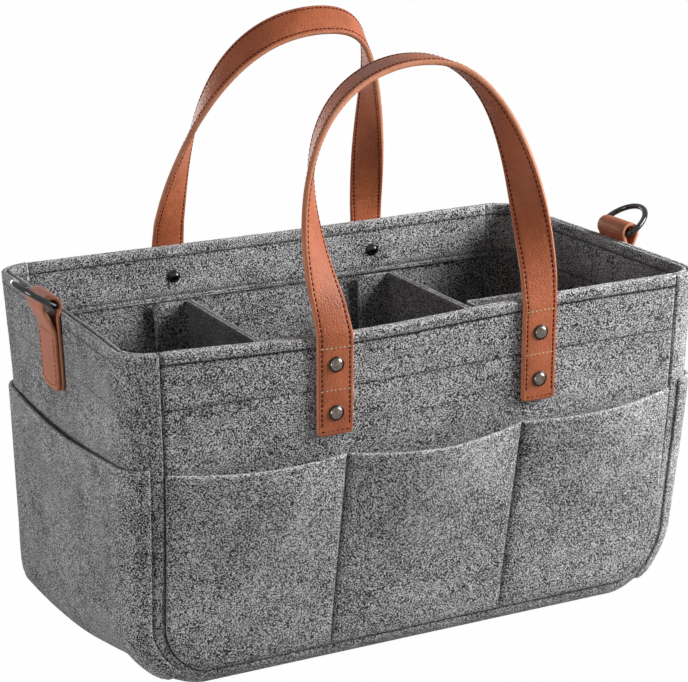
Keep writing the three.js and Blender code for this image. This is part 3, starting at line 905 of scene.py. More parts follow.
def seamColumn(station):
    inset = station["curl"] + caddy["gap"]
    return station["x"] - station["out"][0] * inset, station["z"] - station["out"][1] * inset


def seamColumns(middleXs):  # x and z on the bottom seam, x at the top: columns fan out of the round corners
    turns = spread(0, math.pi / 2, panelMesh["cornerSteps"])
    tops = spread(seamHalf, cornerX, panelMesh["cornerSteps"])
    right = [(*seamColumn(cornerStation(1, turn)), top) for turn, top in zip(turns, tops)]
    left = [(-x, low, -top) for x, low, top in right]
    low = caddy["baseCurl"] + caddy["gap"]
    return left + [(x, low, x) for x in middleXs] + right[::-1]


def panelRows():
    near = -halfDepth + caddy["felt"] / 2
    columns = seamColumns(spread(-cornerX, cornerX, panelMesh["columns"])[1:-1])
    rows = []
    for up in panelShares:
        rows.append([flare(mix(x, top, up), near, mix(low, evenTop, up)) for x, low, top in columns])
    return rows + [[flare(top, near, z) for _, _, top in columns] for z in wallUpper]


def makePanel(name, grid):
    zAt = [0.0] * len(panelShares) + wallUpper

    def pullAndShade(row, col):
        seam = seamDraw(grid[row][col]) * bell(sewnReach(grid, row, col), wallStitch["seamWidth"])
        return max(wallPullAndShade(zAt[row]), seam)

    piece = feltSheet(name + "_panel_felt", grid, caddy["felt"], felt, [name + "_panel"], pullAndShade=pullAndShade)


for wallName, wallGrid in bothWalls(panelRows()):
    makePanel(wallName, wallGrid)
print("gusset and panels sewn")


# facing: felt strips inside the rim

# rimPull and lowPull dent the facing and set its painted shade
facing = {"columns": 56, "curlSteps": 10, "rimPull": 0.8, "lowPull": 0.6, "pullWidth": 0.9, "hemWidth": 1.5}


def facingPullAndShade(row, col):
    z = facingRows[row]
    rim = facing["rimPull"] * bell(z - rimStitchZ, facing["pullWidth"])
    return rim + facing["lowPull"] * bell(z - insideStitchZ, facing["pullWidth"])


# the facing's lower cut edge: paler fibres and a painted highlight along the lip
def facingHemPaleAndHighlight(row, col):
    return bell(facingRows[row] - facingLow, facing["hemWidth"])


def facingSheet(name, grid):
    sewn = {"pullAndShade": facingPullAndShade, "hemPaleAndHighlight": facingHemPaleAndHighlight}
    return feltSheet(name + "_facing_felt", grid, caddy["facing"], felt, [name + "_facing"], **sewn)


def makeFacings():
    lift = -caddy["felt"] - caddy["gap"] - caddy["facing"] / 2
    xs = spread(-seamHalf, seamHalf, facing["columns"])
    for name, grid in bothWalls([[flare(x, -halfDepth - lift, z) for x in xs] for z in facingRows]):
        piece = facingSheet(name, grid)
    angles = spread(0, math.pi / 2, facing["curlSteps"])
    for name, side in (("left", -1), ("right", 1)):
        piece = facingSheet(name, settled([gussetRow(endStation(side, z), lift, angles) for z in facingRows]))


makeFacings()


# front and back pockets: one sheet each, sewn down along two upright seams

pocket = {
    "thick": 2.5,
    "seamX": 49.5,
    "mouthAtEnds": 120.0,
    "mouthAtSeams": 116.0,
    "outerDip": 1.5,
    "middleDip": 3.0,
    "outerBulge": 7.5,
    "middleBulge": 10.0,
    "seamLean": (-4.5, 3.5),  # sideways, at the base and at the mouth
    "press": 0.45,  # share of the thickness lost beside a seam
    "pressWidth": 2.0,
    "sidePressWidth": 3.5,
    # seamPull dents the pocket and sets the painted shade along its seam
    "seamPull": 0.9,
    "seamWidth": 0.6,
    "seamSteps": (-3.2, -1.4, -0.6, 0, 0.6, 1.4, 3.2),  # columns beside a seam
    "seamClear": 5.5,
    "outerColumns": 12,
    "middleColumns": 18,
}
pocketShares = [0, 0.01, 0.025, *spread(0.05, 0.965, 26), 0.985, 1.0]


def acrossPocket(x):
    if abs(x) <= pocket["seamX"]:
        return (x + pocket["seamX"]) / (2 * pocket["seamX"]), "middle"
    return (abs(x) - pocket["seamX"]) / (seamHalf - pocket["seamX"]), "outer"


def mouthHeight(x):
    share, which = acrossPocket(x)
    climb = share * (pocket["mouthAtEnds"] - pocket["mouthAtSeams"]) if which == "outer" else 0
    return pocket["mouthAtSeams"] + climb - pocket[which + "Dip"] * math.sin(math.pi * share)


def pocketSwell(x, z):
    share, which = acrossPocket(x)
    rise = (z - caddy["corner"]) / (pocket["mouthAtSeams"] - caddy["corner"])
    return pocket[which + "Bulge"] * math.sin(math.pi * share) * ease(rise)


def pocketPoint(x, z, lift):
    sideways = mix(*pocket["seamLean"], z / pocket["mouthAtSeams"]) * (1 - (x / seamHalf) ** 2)
    return flare(x + sideways, -halfDepth - lift - pocketSwell(x, z), z)


def pocketColumns():
    beside = [pocket["seamX"] + step for step in pocket["seamSteps"]]
    outer = spread(pocket["seamX"] + pocket["seamClear"], cornerX, pocket["outerColumns"])[:-1]
    inside = pocket["seamX"] - pocket["seamClear"]
    right = beside + outer
    left = [-x for x in reversed(right)]
    return seamColumns(left + spread(-inside, inside, pocket["middleColumns"]) + right)


def makePocket(name, grid, offSeam):
    def near(row, col, width):
        return bell(sewnReach(grid, row, col), width)

    def pullAndShade(row, col):
        seam = pocket["seamPull"] * bell(offSeam[col], pocket["seamWidth"])
        return max(seam, near(row, col, wallStitch["seamWidth"]))

    def press(row, col):
        seam = bell(offSeam[col], pocket["pressWidth"])
        return pocket["press"] * max(seam, near(row, col, pocket["sidePressWidth"]))

    nodes = [name + "_pocket"]
    piece = feltSheet(name + "_pocket_felt", grid, pocket["thick"], felt, nodes, pullAndShade=pullAndShade, press=press)


def makePockets():
    lift = caddy["gap"] + pocket["thick"] / 2
    columns = pocketColumns()
    offSeam = [abs(top) - pocket["seamX"] for _, _, top in columns]

    def spotAt(x, low, top, up):
        return pocketPoint(mix(x, top, up), mix(low, mouthHeight(top), up), lift)

    for name, grid in bothWalls([[spotAt(*column, up) for column in columns] for up in pocketShares]):
        makePocket(name, grid, offSeam)


makePockets()


# end pockets: a sheet round each end, open at the top

endPocket = {
    "thick": 2.5,
    "mouth": 121.0,
    "dip": 4.0,
    "tilt": 2.5,  # the mouth is higher at the front than at the back
    "bulge": 2.0,  # the mouth lies nearly flat in the photo
    "inset": 6.6,  # from the upright seam to the cut edge
    "wrap": math.radians(62),
    "press": 0.4,
    "pressWidth": 3.0,
    "curlSteps": 9,
    "wrapSteps": 12,
}
endPocketShares = [*spread(0, 0.93, 16)[1:], 0.97, 1.0]


def endSwell(y):
    return math.cos(math.pi / 2 * clamp(y / flatHalf, -1, 1))


def endPocketRow(station, share, lift):
    angles = spread(endPocket["inset"] / caddy["endCurl"], math.pi / 2, endPocket["curlSteps"])

    def raised(y):
        mouth = endPocket["mouth"] - endPocket["dip"] * endSwell(y) - endPocket["tilt"] * y / flatHalf
        return dict(station, z=mix(caddy["corner"], mouth, share)) if share > 0 else station

    def swollen(y):
        proud = lift + endPocket["bulge"] * endSwell(y) * ease(share)
        return flatPoint(raised(y), y, proud)

    near = [curlPoint(raised(-flatHalf), -1, angle, lift) for angle in angles]
    far = [curlPoint(raised(flatHalf), 1, angle, lift) for angle in reversed(angles)]
    return near + [swollen(y) for y in acrossFlat(station)] + far


def makeEndPocket(name, side):
    lift = caddy["gap"] + endPocket["thick"] / 2
    turns = spread(endPocket["wrap"], 0, endPocket["wrapSteps"])
    rows = [endPocketRow(cornerStation(side, angle), 0, lift) for angle in turns]
    rows += [endPocketRow(endStation(side, caddy["corner"]), share, lift) for share in endPocketShares]
    grid = settled(rows)
    for point in sum(grid, []):
        point.z = max(point.z, endPocket["thick"] / 2)  # pressed flat on the floor

    def press(row, col):
        return endPocket["press"] * bell(sewnReach(grid, row, col), endPocket["pressWidth"])

    thick, nodes = endPocket["thick"], [name + "_end_pocket"]
    piece = feltSheet(name + "_end_pocket_felt", grid, thick, felt, nodes, press=press, face=side)


makeEndPocket("left", -1)
makeEndPocket("right", 1)
print("facings and pockets sewn")


# dividers: a ply with flanges turned along the walls, and a backing ply

divider = {
    "ply": 2.0,
    "flange": 22.0,
    "standoff": 3.1,
    "low": 5.4,
    "high": 150.4,
    "leftX": -52.0,
    "rightX": 76.0,
    "crossY": 14.0,
    "hookWidth": 18.0,
    "hookLow": 44.0,
    "hookHigh": 120.0,
    "bend": 3.2,
    "cornerClear": 2.4,  # between the cross divider and the round corner of the base
    "cornerStop": 0.1,  # the lower edge stops this short of upright in that corner
    "evenTop": 141.0,  # rows are even up to here and closer above
    "closeRows": (144.0, 146.3, 147.4, 148.6),
    "wallStep": 5.0,
    "crossStep": 4.0,
}
flangeY = halfDepth - caddy["felt"] - divider["standoff"]
crossLeft = divider["rightX"] + caddy["gap"] + divider["ply"] + divider["standoff"]
crossRight = halfLength - caddy["felt"] - divider["standoff"]
tapeThick = divider["standoff"] - 2 * caddy["gap"]
dividerRows = [*spread(divider["low"], divider["evenTop"], 22), *divider["closeRows"], divider["high"]]


def roundedPlan(corners, radius, step):
    plan = [corners[0]]
    for before, corner, after in zip(corners, corners[1:], corners[2:]):
        start = corner + (before - corner).normalized() * radius
        end = corner + (after - corner).normalized() * radius
        for share in spread(0, 1, 5):
            plan.append((start.lerp(corner, share)).lerp(corner.lerp(end, share), share))
    plan.append(corners[-1])
    dense = []
    for first, second in zip(plan, plan[1:]):
        steps = max(1, round((second - first).length / step))
        dense += [first.lerp(second, k / steps) for k in range(steps)]
    return dense + [plan[-1]]


def flareAcross(y, x, z):
    return flare(x, y, z)


def flareLength(x, y, z):
    return Vector((flare(x, 0, z).x, y, z))


def dividerSheet(name, grid, node, body):
    return feltSheet(name, grid, divider["ply"], dividerFelt, [node], body, "divider_felt")


def sewTape(name, node, body, tip, at, spot):
    start = tip + (divider["flange"] - divider["hookWidth"]) / 2
    across = spread(start, start + divider["hookWidth"], 6)
    heights = spread(divider["hookLow"], divider["hookHigh"], 16)
    grid = [[spot(at, place, z) for place in across] for z in heights]
    feltSheet(name, grid, tapeThick, hookTape, [node], body, "hook_tape")


def makeWallDivider(name, x):
    half = divider["ply"] / 2
    tip, y = x - divider["flange"], flangeY - half
    corners = [Vector(spot) for spot in ((tip, y), (x - half, y), (x - half, -y), (tip, -y))]
    plan = roundedPlan(corners, divider["bend"], divider["wallStep"])
    grid = [[flare(spot.x, spot.y, z) for spot in plan] for z in dividerRows]
    body = name + "_divider_body"
    piece = dividerSheet(name + "_divider_felt", grid, name + "_divider", body)
    near = x + caddy["gap"] + half
    grid = [[flare(near, at, z) for at in spread(-flangeY, flangeY, 44)] for z in dividerRows]
    piece = dividerSheet(name + "_backing_felt", grid, name + "_divider_backing", body)
    for wall, side in (("front", -1), ("back", 1)):
        at = side * (flangeY + caddy["gap"] + tapeThick / 2)
        node = "%s_divider_%s_hook" % (name, wall)
        sewTape("%s_%s_hook_tape" % (name, wall), node, body, tip, at, flareAcross)


def crossFloor(x):
    radius = caddy["corner"] - caddy["felt"] - divider["cornerClear"]
    beyond = clamp(x - cornerX, 0, radius - divider["cornerStop"])
    return max(divider["low"], caddy["corner"] - math.sqrt(radius ** 2 - beyond ** 2))


def makeCrossDivider():
    half = divider["ply"] / 2
    y, tip = divider["crossY"] - half, divider["crossY"] - divider["flange"]
    left, right = crossLeft + half, crossRight - half
    corners = [Vector(spot) for spot in ((left, tip), (left, y), (right, y), (right, tip))]
    plan = roundedPlan(corners, divider["bend"], divider["crossStep"])
    low, high = divider["low"], divider["high"]
    grid = []
    for share in [(z - low) / (high - low) for z in dividerRows]:
        grid.append([flareLength(spot.x, spot.y, mix(crossFloor(spot.x), high, share)) for spot in plan])
    body = "cross_divider_body"
    piece = dividerSheet("cross_divider_felt", grid, "cross_divider", body)
    for wall, side, edge in (("left", -1, crossLeft), ("right", 1, crossRight)):
        at = edge + side * caddy["gap"] + side * tapeThick / 2
        node = "cross_divider_%s_hook" % wall
        sewTape("cross_%s_hook_tape" % wall, node, body, tip, at, flareLength)


makeWallDivider("left", divider["leftX"])
makeWallDivider("right", divider["rightX"])
makeCrossDivider()
print("dividers folded")


# places on a wall: across, out of the felt, up from the rim; the back wall mirrors the front one

def onWall(x, out, up, wall="front"):
    y = -caddy["rimDepth"] / 2 - out * math.cos(wallSlope) - up * math.sin(wallSlope)
    z = caddy["height"] - out * math.sin(wallSlope) + up * math.cos(wallSlope)
    return Vector((x, y if wall == "front" else -y, z))


def wallOut(wall):
    out = Vector((0, -math.cos(wallSlope), -math.sin(wallSlope)))
    return out if wall == "front" else Vector((0, -out.y, out.z))


def onRippledWall(x, out, up, wall):
    spot = onWall(x, out, up, wall)
    return spot + ripple(spot)


# handles: straps that turn over between their riveted ends

strap = {
    "width": 19.6,
    "thick": 3.2,
    "middleX": 3.4,
    "drop": 56.0,
    "rise": 1.5,
    "topTwist": math.radians(115.5),
    "twistLead": 0.4,
    "archFrom": 0.045,  # share of a half arch left to the smooth join with the ends
    "archSteps": 30,
    "proud": 0.15,
    "footRows": (0, 0.3, 0.8, 1.5, 2.4),  # above the foot
    "endRows": (-51.0, -4.0),  # from the rim: where the even rows of an end begin and stop
    "footCorner": 2.4,
    "stitchInset": 2.2,
    "stitchDepth": 0.88,  # the groove's share of half the thickness
    "stitchFrom": 5,  # the first frame with stitches along the sides
    "step": 2.5,
    "bendBelow": 5.0,
    "bendAbove": 6.0,
}
handles = {
    "front": {
        "halfSpan": 58.2,
        "lean": math.radians(21),
        "height": 128.8,
        "topReach": 20.0,
        "topShift": 12.6,
        "leftReach": 114.0,
        "leftBulge": 19.5,
        "rightReach": 125.0,
        "rightBulge": 14.0,
    },
    "back": {
        "halfSpan": 64.0,
        "lean": math.radians(-18.5),
        "height": 133.0,
        "topReach": 43.0,
        "topShift": 20.6,
        "leftReach": 98.0,
        "leftBulge": -3.0,
        "rightReach": 100.0,
        "rightBulge": -10.5,
    },
}
anchors = {
    wall: {"left": strap["middleX"] - shape["halfSpan"], "right": strap["middleX"] + shape["halfSpan"]}
    for wall, shape in handles.items()
}


def bezier(a, b, c, d, t):
    s = 1 - t
    return a * s ** 3 + b * 3 * t * s * s + c * 3 * t * t * s + d * t ** 3


def bezierSlope(a, b, c, d, t):
    s = 1 - t
    return (b - a) * 3 * s * s + (c - b) * 6 * t * s + (d - c) * 3 * t * t


def runLengths(spots):
    along = [0.0]
    for first, second in zip(spots, spots[1:]):
        along.append(along[-1] + (second - first).length)
    return along


def evenTimes(curve, steps, samples=400):
    moments = spread(0, 1, samples)
    reach = runLengths([bezier(*curve, t) for t in moments])
    picked, k = [], 0
    for goal in spread(0, reach[-1], steps):
        while k < len(reach) - 2 and reach[k + 1] < goal:
            k += 1
        share = clamp((goal - reach[k]) / (reach[k + 1] - reach[k]))
        picked.append(mix(moments[k], moments[k + 1], share))
    return picked


def strapTwist(share):
    lead = strap["twistLead"]
    spent = ease(lead / (1 + lead))
    return strap["topTwist"] * (ease((share + lead) / (1 + lead)) - spent) / (1 - spent)


def bendPoint(wall):
    return onWall(0, caddy["gap"] + strap["thick"], strap["rise"], wall)


def archCurves(wall):
    shape = handles[wall]
    left, right = anchors[wall]["left"], anchors[wall]["right"]
    top = Vector((shape["topShift"], shape["height"]))
    leftKnee = Vector((left - shape["leftBulge"], shape["leftReach"]))
    rightKnee = Vector((right + shape["rightBulge"], shape["rightReach"]))
    overTop = Vector((shape["topReach"], 0))
    rising = (Vector((left, 0)), leftKnee, top - overTop, top)
    return rising, (top, top + overTop, rightKnee, Vector((right, 0)))


def archFrames(wall):
    rising, falling = archCurves(wall)
    bend = bendPoint(wall)
    leaning = Matrix.Rotation(-handles[wall]["lean"], 3, "X")
    inside = strap["thick"] / 2 if wall == "front" else -strap["thick"] / 2
    steps = strap["archSteps"]
    frames = []
    for curve, first in ((rising, True), (falling, False)):
        for k, t in enumerate(evenTimes(curve, steps)):
            share = k / steps if first else 1 - k / steps
            if share < strap["archFrom"] or (share == 1 and not first):
                continue
            spot = bezier(*curve, t)
            slope = bezierSlope(*curve, t).normalized()
            travel = Vector((slope.x, 0, slope.y))
            outwards = Vector((-slope.y, 0, slope.x))
            turn = strapTwist(share)
            across = outwards * math.cos(turn) + Vector((0, -1, 0)) * math.sin(turn)
            centre = Vector((spot.x, inside, spot.y))
            face = travel.cross(across)
            frames.append((bend + leaning @ centre, leaning @ across, leaning @ face))
    return frames


def endFrames(wall, end, ups):
    x = anchors[wall][end]
    out = caddy["gap"] + strap["thick"] / 2 + strap["proud"]
    across = Vector((-1 if end == "left" else 1, 0, 0))
    face = wallOut("front") if wall == "front" else -wallOut("back")
    return [(onRippledWall(x, out, up, wall), across, face) for up in ups]


def catmull(p0, p1, p2, p3, t):
    square, cube = 2 * p0 - 5 * p1 + 4 * p2 - p3, 3 * p1 - p0 - 3 * p2 + p3
    return 0.5 * (2 * p1 + (p2 - p0) * t + square * t * t + cube * t ** 3)


def smoothFrames(keys, step):
    frames = []
    for k in range(len(keys) - 1):
        four = [keys[max(k - 1, 0)], keys[k], keys[k + 1], keys[min(k + 2, len(keys) - 1)]]
        pieces = max(1, round((four[2][0] - four[1][0]).length / step))
        for t in spread(0, 1, pieces)[:-1]:
            centre, across, face = (catmull(*[key[part] for key in four], t) for part in range(3))
            frames.append((centre, across.normalized(), face.normalized()))
    return frames + [keys[-1]]


def handleFrames(wall):
    ups = [-strap["drop"] + step for step in strap["footRows"]] + spread(*strap["endRows"], 13)
    left = endFrames(wall, "left", ups)
    right = endFrames(wall, "right", list(reversed(ups)))
    return smoothFrames(left + archFrames(wall) + right, strap["step"])


def strapSection():  # from the lighter edge, over the stitch groove, to the plump middle
    half, deep = strap["width"] / 2, strap["thick"] / 2
    sew = half - strap["stitchInset"]
    edge = [(half, 0.0), (half - 0.08, 0.5 * deep), (half - 0.4, 0.82 * deep), (half - 0.95, 0.97 * deep)]
    groove = [(sew + 0.45, 0.93 * deep), (sew, 0.84 * deep), (sew - 0.45, 0.93 * deep)]
    return mirrored(edge + groove + [(sew - 1.4, 1.0 * deep), (0.35 * half, 1.05 * deep), (0.0, 1.06 * deep)])


# leather strips: a section carried along a line of frames, rounded and thinned at the ends

cutLeather = {"endThin": 0.55, "endLength": 0.9, "edgeWidth": 0.9}


def toNearerEnd(frames):
    along = runLengths([centre for centre, _, _ in frames])
    return [min(reach, along[-1] - reach) for reach in along]


def cornerWidth(toEnd, half, radius):
    short = clamp(radius - toEnd, 0, radius)
    return (half - radius + math.sqrt(radius ** 2 - short ** 2)) / half


def loftStrip(name, frames, section, widths, body, nodes):
    points = []
    for (centre, across, face), narrow, toEnd in zip(frames, widths, toNearerEnd(frames)):
        thin = mix(cutLeather["endThin"], 1, math.sqrt(clamp(toEnd / cutLeather["endLength"])))
        points += [centre + across * w * narrow + face * t * thin for w, t in section]
    rim = max(w for w, _ in section) - cutLeather["edgeWidth"]
    pairs = zip(section, section[1:] + section[:1])
    edge = [1 if min(abs(a[0]), abs(b[0])) > rim else 0 for a, b in pairs]
    faceFinish = edge * (len(frames) - 1) + [1, 1]
    faces = tubeFaces(len(frames), len(section))
    return addPiece(name, points, faces, [leather, leatherEdge], body, nodes, faceFinish)


# stitches: short plump threads that dive into the felt or hide at both ends

plump = {
    "sides": 6,
    "dive": 0.9,  # how deep the ends go, in thread radii
    "rings": ((-0.36, 0.85, -0.1), (0.0, 1.0, 0.25), (0.36, 0.85, -0.1)),  # place along, size, rise
}


def threadPoints(centre, along, out, length, thick):
    aside = along.cross(out).normalized()
    points = [centre - along * length / 2 - out * thick * plump["dive"]]
    for place, size, rise in plump["rings"]:
        spot = centre + along * length * place + out * thick * rise
        for turn in circle(plump["sides"]):
            points.append(spot + (aside * math.cos(turn) + out * math.sin(turn)) * thick * size)
    points.append(centre + along * length / 2 - out * thick * plump["dive"])
    return points


def threadFaces(start):
    sides, rings = plump["sides"], len(plump["rings"])
    loops = [[start + 1 + r * sides + k for k in range(sides)] for r in range(rings)]
    last = start + 1 + rings * sides
    faces = [[start, loops[0][(k + 1) % sides], loops[0][k]] for k in range(sides)]
    faces += stripFaces(loops)
    return faces + [[last, loops[-1][k], loops[-1][(k + 1) % sides]] for k in range(sides)]


def sewAlong(rail, pitch, length, thick, skip=None):
    points, faces = [], []
    reach = 0.0
    goal = pitch / 2
    for (first, outA), (second, outB) in zip(rail, rail[1:]):
        span = (second - first).length
        while span > 0 and goal <= reach + span:
            share = (goal - reach) / span
            spot = first.lerp(second, share)
            goal += pitch
            if skip and skip(spot):
                continue
            along = (second - first).normalized()
            out = outA.lerp(outB, share)
            out = (out - along * out.dot(along)).normalized()
            faces += threadFaces(len(points))
            points += threadPoints(spot, along, out, length, thick)
        reach += span
    return points, faces


def sewPiece(name, rails, thread, slot, body="caddy_body", pitch=3.4, length=2.6, thick=0.3, skip=None):
    points, faces = [], []
    for rail in rails:
        more, quads = sewAlong(rail, pitch, length, thick, skip)
        faces += [[k + len(points) for k in quad] for quad in quads]
        points += more
    return addPiece(name, points, faces, [thread], body)


def strapRails(frames):
    inset = strap["width"] / 2 - strap["stitchInset"]
    surface = strap["thick"] / 2 * strap["stitchDepth"]
    first = strap["stitchFrom"]

    def onStrap(place, w, t):
        centre, across, face = place
        return centre + across * w + face * t, face * math.copysign(1, t)

    sides = [(w, t) for w in (-inset, inset) for t in (-surface, surface)]
    rails = [[onStrap(place, w, t) for place in frames[first:-first]] for w, t in sides]
    for place in (frames[first - 1], frames[-first]):
        for t in (-surface, surface):
            rails.append([onStrap(place, w, t) for w in spread(-inset, inset, 6)])
    return rails


def makeHandle(wall):
    frames = handleFrames(wall)
    nodes = [wall + "_handle_arch", wall + "_handle_left_end", wall + "_handle_right_end"]
    widths = [cornerWidth(toEnd, strap["width"] / 2, strap["footCorner"]) for toEnd in toNearerEnd(frames)]
    piece = loftStrip(wall + "_handle_strap", frames, strapSection(), widths, None, nodes)
    size = {"pitch": 2.6, "length": 2.4, "thick": 0.36}
    threads = sewPiece(wall + "_handle_stitch", strapRails(frames), brownThread, "leather", None, **size)
    for soft in (piece, threads):
        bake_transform(soft)


makeHandle("front")
makeHandle("back")
print("handles sewn")


# rivets: domed caps outside with a painted shade ring at the flange, round black backs inside

rivet = {
    "drops": {"upper": 18.5, "lower": 44.0},
    "capRadius": 4.2,
    "capHeight": 2.1,
    "capFlange": 0.55,
    "backRadius": 3.8,
    "backHeight": 2.6,
    "backFlange": 0.45,
    "proud": 0.1,
    "crown": 0.8,  # the dome's share of the radius
    "crownFrom": 0.1,  # angles left out at the foot and the top of the dome
    "crownShort": 0.04,
    "sides": 36,
    "flangeRings": 5,
}


def domeProfile(radius, height, flange):
    low = [(0.5, 0.0), (0.94, 0.0), (1.0, 0.35), (0.985, 0.75), (0.9, 1.0)]  # shares of radius and flange
    brim = [(radius * out, flange * up) for out, up in low]
    turns = spread(rivet["crownFrom"], math.pi / 2 - rivet["crownShort"], 10)
    wide, rise = radius * rivet["crown"], height - flange
    return brim + [(wide * math.cos(turn), flange + rise * math.sin(turn)) for turn in turns]


def placeTurned(name, profile, foot, out, finishes, node):
    stand = Vector((0, 0, 1)).rotation_difference(out).to_matrix()
    points = []
    for radius, height in profile:
        for turn in circle(rivet["sides"]):
            spot = Vector((radius * math.cos(turn), radius * math.sin(turn), height))
            points.append(foot + stand @ spot)
    faces = tubeFaces(len(profile), rivet["sides"])
    # flange faces take the second finish; on the caps that is the painted shade ring
    flangeFaces = rivet["flangeRings"] * rivet["sides"]
    faceFinish = [1 if k < flangeFaces else 0 for k in range(len(faces))]
    addPiece(name, points, faces, finishes, "caddy_body", [node], faceFinish)


def makeRivet(wall, side, level):
    x, drop, out = anchors[wall][side], rivet["drops"][level], wallOut(wall)
    name = "_".join((wall, side, level))
    seat = onRippledWall(x, strap["thick"] + 2 * caddy["gap"] + rivet["proud"], -drop, wall)
    cap = domeProfile(rivet["capRadius"], rivet["capHeight"], rivet["capFlange"])
    placeTurned(name + "_cap", cap, seat, out, [nickel, flangeShadeNickel], name + "_rivet_cap")
    plies = caddy["felt"] + (caddy["facing"] + caddy["gap"] if level == "upper" else 0)
    seat = onRippledWall(x, -plies - caddy["gap"], -drop, wall)
    back = domeProfile(rivet["backRadius"], rivet["backHeight"], rivet["backFlange"])
    blacks = [blackNickel, blackNickel]
    placeTurned(name + "_back", back, seat, -out, blacks, name + "_rivet_back")


for wallName in ("front", "back"):
    for sideName in ("left", "right"):
        for levelName in rivet["drops"]:
            makeRivet(wallName, sideName, levelName)


# ring tabs: a leather strip folded round the ring's bar, and the D-ring in it

tab = {
    "width": 27.0,
    "foot": 26.0,
    "ply": 2.2,
    "drop": 42.0,
    "sewn": 9.0,  # above this the plies part and go loosely round the bar
    "clear": 0.4,
    "loop": 3.6,
    "lean": 1.7,
    "loopShort": 0.26,  # the loop stops this angle short of the inner ply
    "partShares": (0.15, 0.35, 0.55, 0.75),  # rows between the sewn part and the loop
    "footRows": (0, 0.4, 1, 2, 3.2, 4.6),
    "evenFrom": 6.5,
    "evenShort": 1.5,
    "step": 1.6,
    "corner": 6.0,
    "taperShort": 6.0,
    "plyGap": 0.1,
    "stitchInset": 2.3,
    "stitchBelow": 1.6,
    "stitchSunk": 0.05,
    "sideFrom": 2.0,  # the side lines begin this far below the line across
    "sideTo": 6.0,  # and stop this far above the foot
    "bow": 3.6,
    "insideRows": (-8.0, -30.0),
    "insideSunk": 0.25,
    "places": {"left": -1.0, "right": -13.0},
}
ring = {"wire": 1.6, "inner": 29.0, "side": 3.6, "corner": 3.0, "tilt": math.radians(35), "sides": 16}
barHeight = ring["wire"] + tab["clear"] + tab["ply"] + caddy["gap"]
tabMiddle = caddy["gap"] + tab["ply"]  # where the two plies meet, out from the felt


def onEnd(out, y, up, side):
    x = caddy["rimLength"] / 2 + out * math.cos(endSlope) + up * math.sin(endSlope)
    z = caddy["height"] - out * math.sin(endSlope) + up * math.cos(endSlope)
    return Vector((side * x, y + tab["places"]["left" if side < 0 else "right"], z))


def tabPath():
    ply = tab["ply"] / 2
    radius = tab["loop"] + ply
    rise = barHeight + tab["sewn"]
    parting = math.atan2(tab["lean"], rise) + math.asin(tab["loop"] / math.hypot(tab["lean"], rise))
    meet = math.pi + math.acos((tab["lean"] + ply) / radius) - tab["loopShort"]
    turns = spread(-parting, meet, 24)
    loop = [(tab["lean"] + radius * math.cos(turn), barHeight + radius * math.sin(turn)) for turn in turns]
    outer = [*tab["footRows"], *spread(tab["evenFrom"], tab["drop"] - tab["sewn"] - tab["evenShort"], 7)]
    inner = [*tab["footRows"], *spread(tab["evenFrom"], tab["drop"] - tab["evenShort"], 11)]
    path = [(ply, up - tab["drop"]) for up in outer]
    for share in tab["partShares"]:
        path.append((mix(ply, loop[0][0], share), mix(-tab["sewn"], loop[0][1], share)))
    return path + loop + [(-ply, up - tab["drop"]) for up in reversed(inner)]


def tabFrames(side):
    path = tabPath()
    across = Vector((0, 1, 0))
    frames = []
    for k, (out, up) in enumerate(path):
        before, after = path[max(k - 1, 0)], path[min(k + 1, len(path) - 1)]
        centre = onEnd(tabMiddle + out, 0, up, side)
        travel = onEnd(after[0], 0, after[1], side) - onEnd(before[0], 0, before[1], side)
        frames.append((centre, across, travel.normalized().cross(across)))
    return smoothFrames(frames, tab["step"])


def tabSection():
    half, deep = tab["width"] / 2, (tab["ply"] - tab["plyGap"]) / 2
    edge = [(half, 0.0), (half - 0.06, 0.55 * deep), (half - 0.35, 0.88 * deep), (half - 0.95, deep)]
    return mirrored(edge + [(half * 0.5, 1.02 * deep), (0.0, 1.03 * deep)])


def tabRails(side, out):  # across below the loop, down both sides, and a bow at the foot
    sew = tab["width"] / 2 - tab["stitchInset"]
    footSew = tab["foot"] / 2 - tab["stitchInset"]
    proud = caddy["gap"] + 2 * tab["ply"] - tab["stitchSunk"]
    top, low = -tab["sewn"] - tab["stitchBelow"], -tab["drop"] + tab["sideTo"]
    lines = [[(y, top) for y in spread(-sew, sew, 8)]]
    start = top - tab["sideFrom"]
    for which in (-1, 1):
        shares = spread(0, 1, 12)
        lines.append([(which * mix(sew, footSew, share), mix(start, low, share)) for share in shares])
    turns = spread(0, math.pi, 14)
    lines.append([(footSew * math.cos(turn), low - tab["bow"] * math.sin(turn)) for turn in turns])
    return [[(onEnd(proud, y, up, side), out) for y, up in line] for line in lines]


def makeTab(name, side):
    frames = tabFrames(side)
    half = tab["width"] / 2
    widths = []
    for toEnd in toNearerEnd(frames):
        taper = mix(tab["foot"] / tab["width"], 1, ease(toEnd / (tab["drop"] - tab["taperShort"])))
        widths.append(taper * cornerWidth(toEnd, half, tab["corner"]))
    loftStrip(name + "_ring_tab_leather", frames, tabSection(), widths, "caddy_body", [name + "_ring_tab"])
    out = onEnd(1, 0, 0, side) - onEnd(0, 0, 0, side)
    size = {"pitch": 2.7, "length": 2.2, "thick": 0.28}
    sewPiece(name + "_ring_tab_stitch", tabRails(side, out), tanThread, "leather", **size)
    inner = -caddy["felt"] - 2 * caddy["gap"] - caddy["facing"] + tab["insideSunk"]
    sew = half - tab["stitchInset"]
    ups = spread(*tab["insideRows"], 10)
    rails = [[(settle(onEnd(inner, y, up, side)), -out) for up in ups] for y in (-sew, sew)]
    size = {"pitch": 3.0, "length": 2.5, "thick": 0.4}
    sewPiece(name + "_end_inside_stitch", rails, darkThread, "felt", **size)


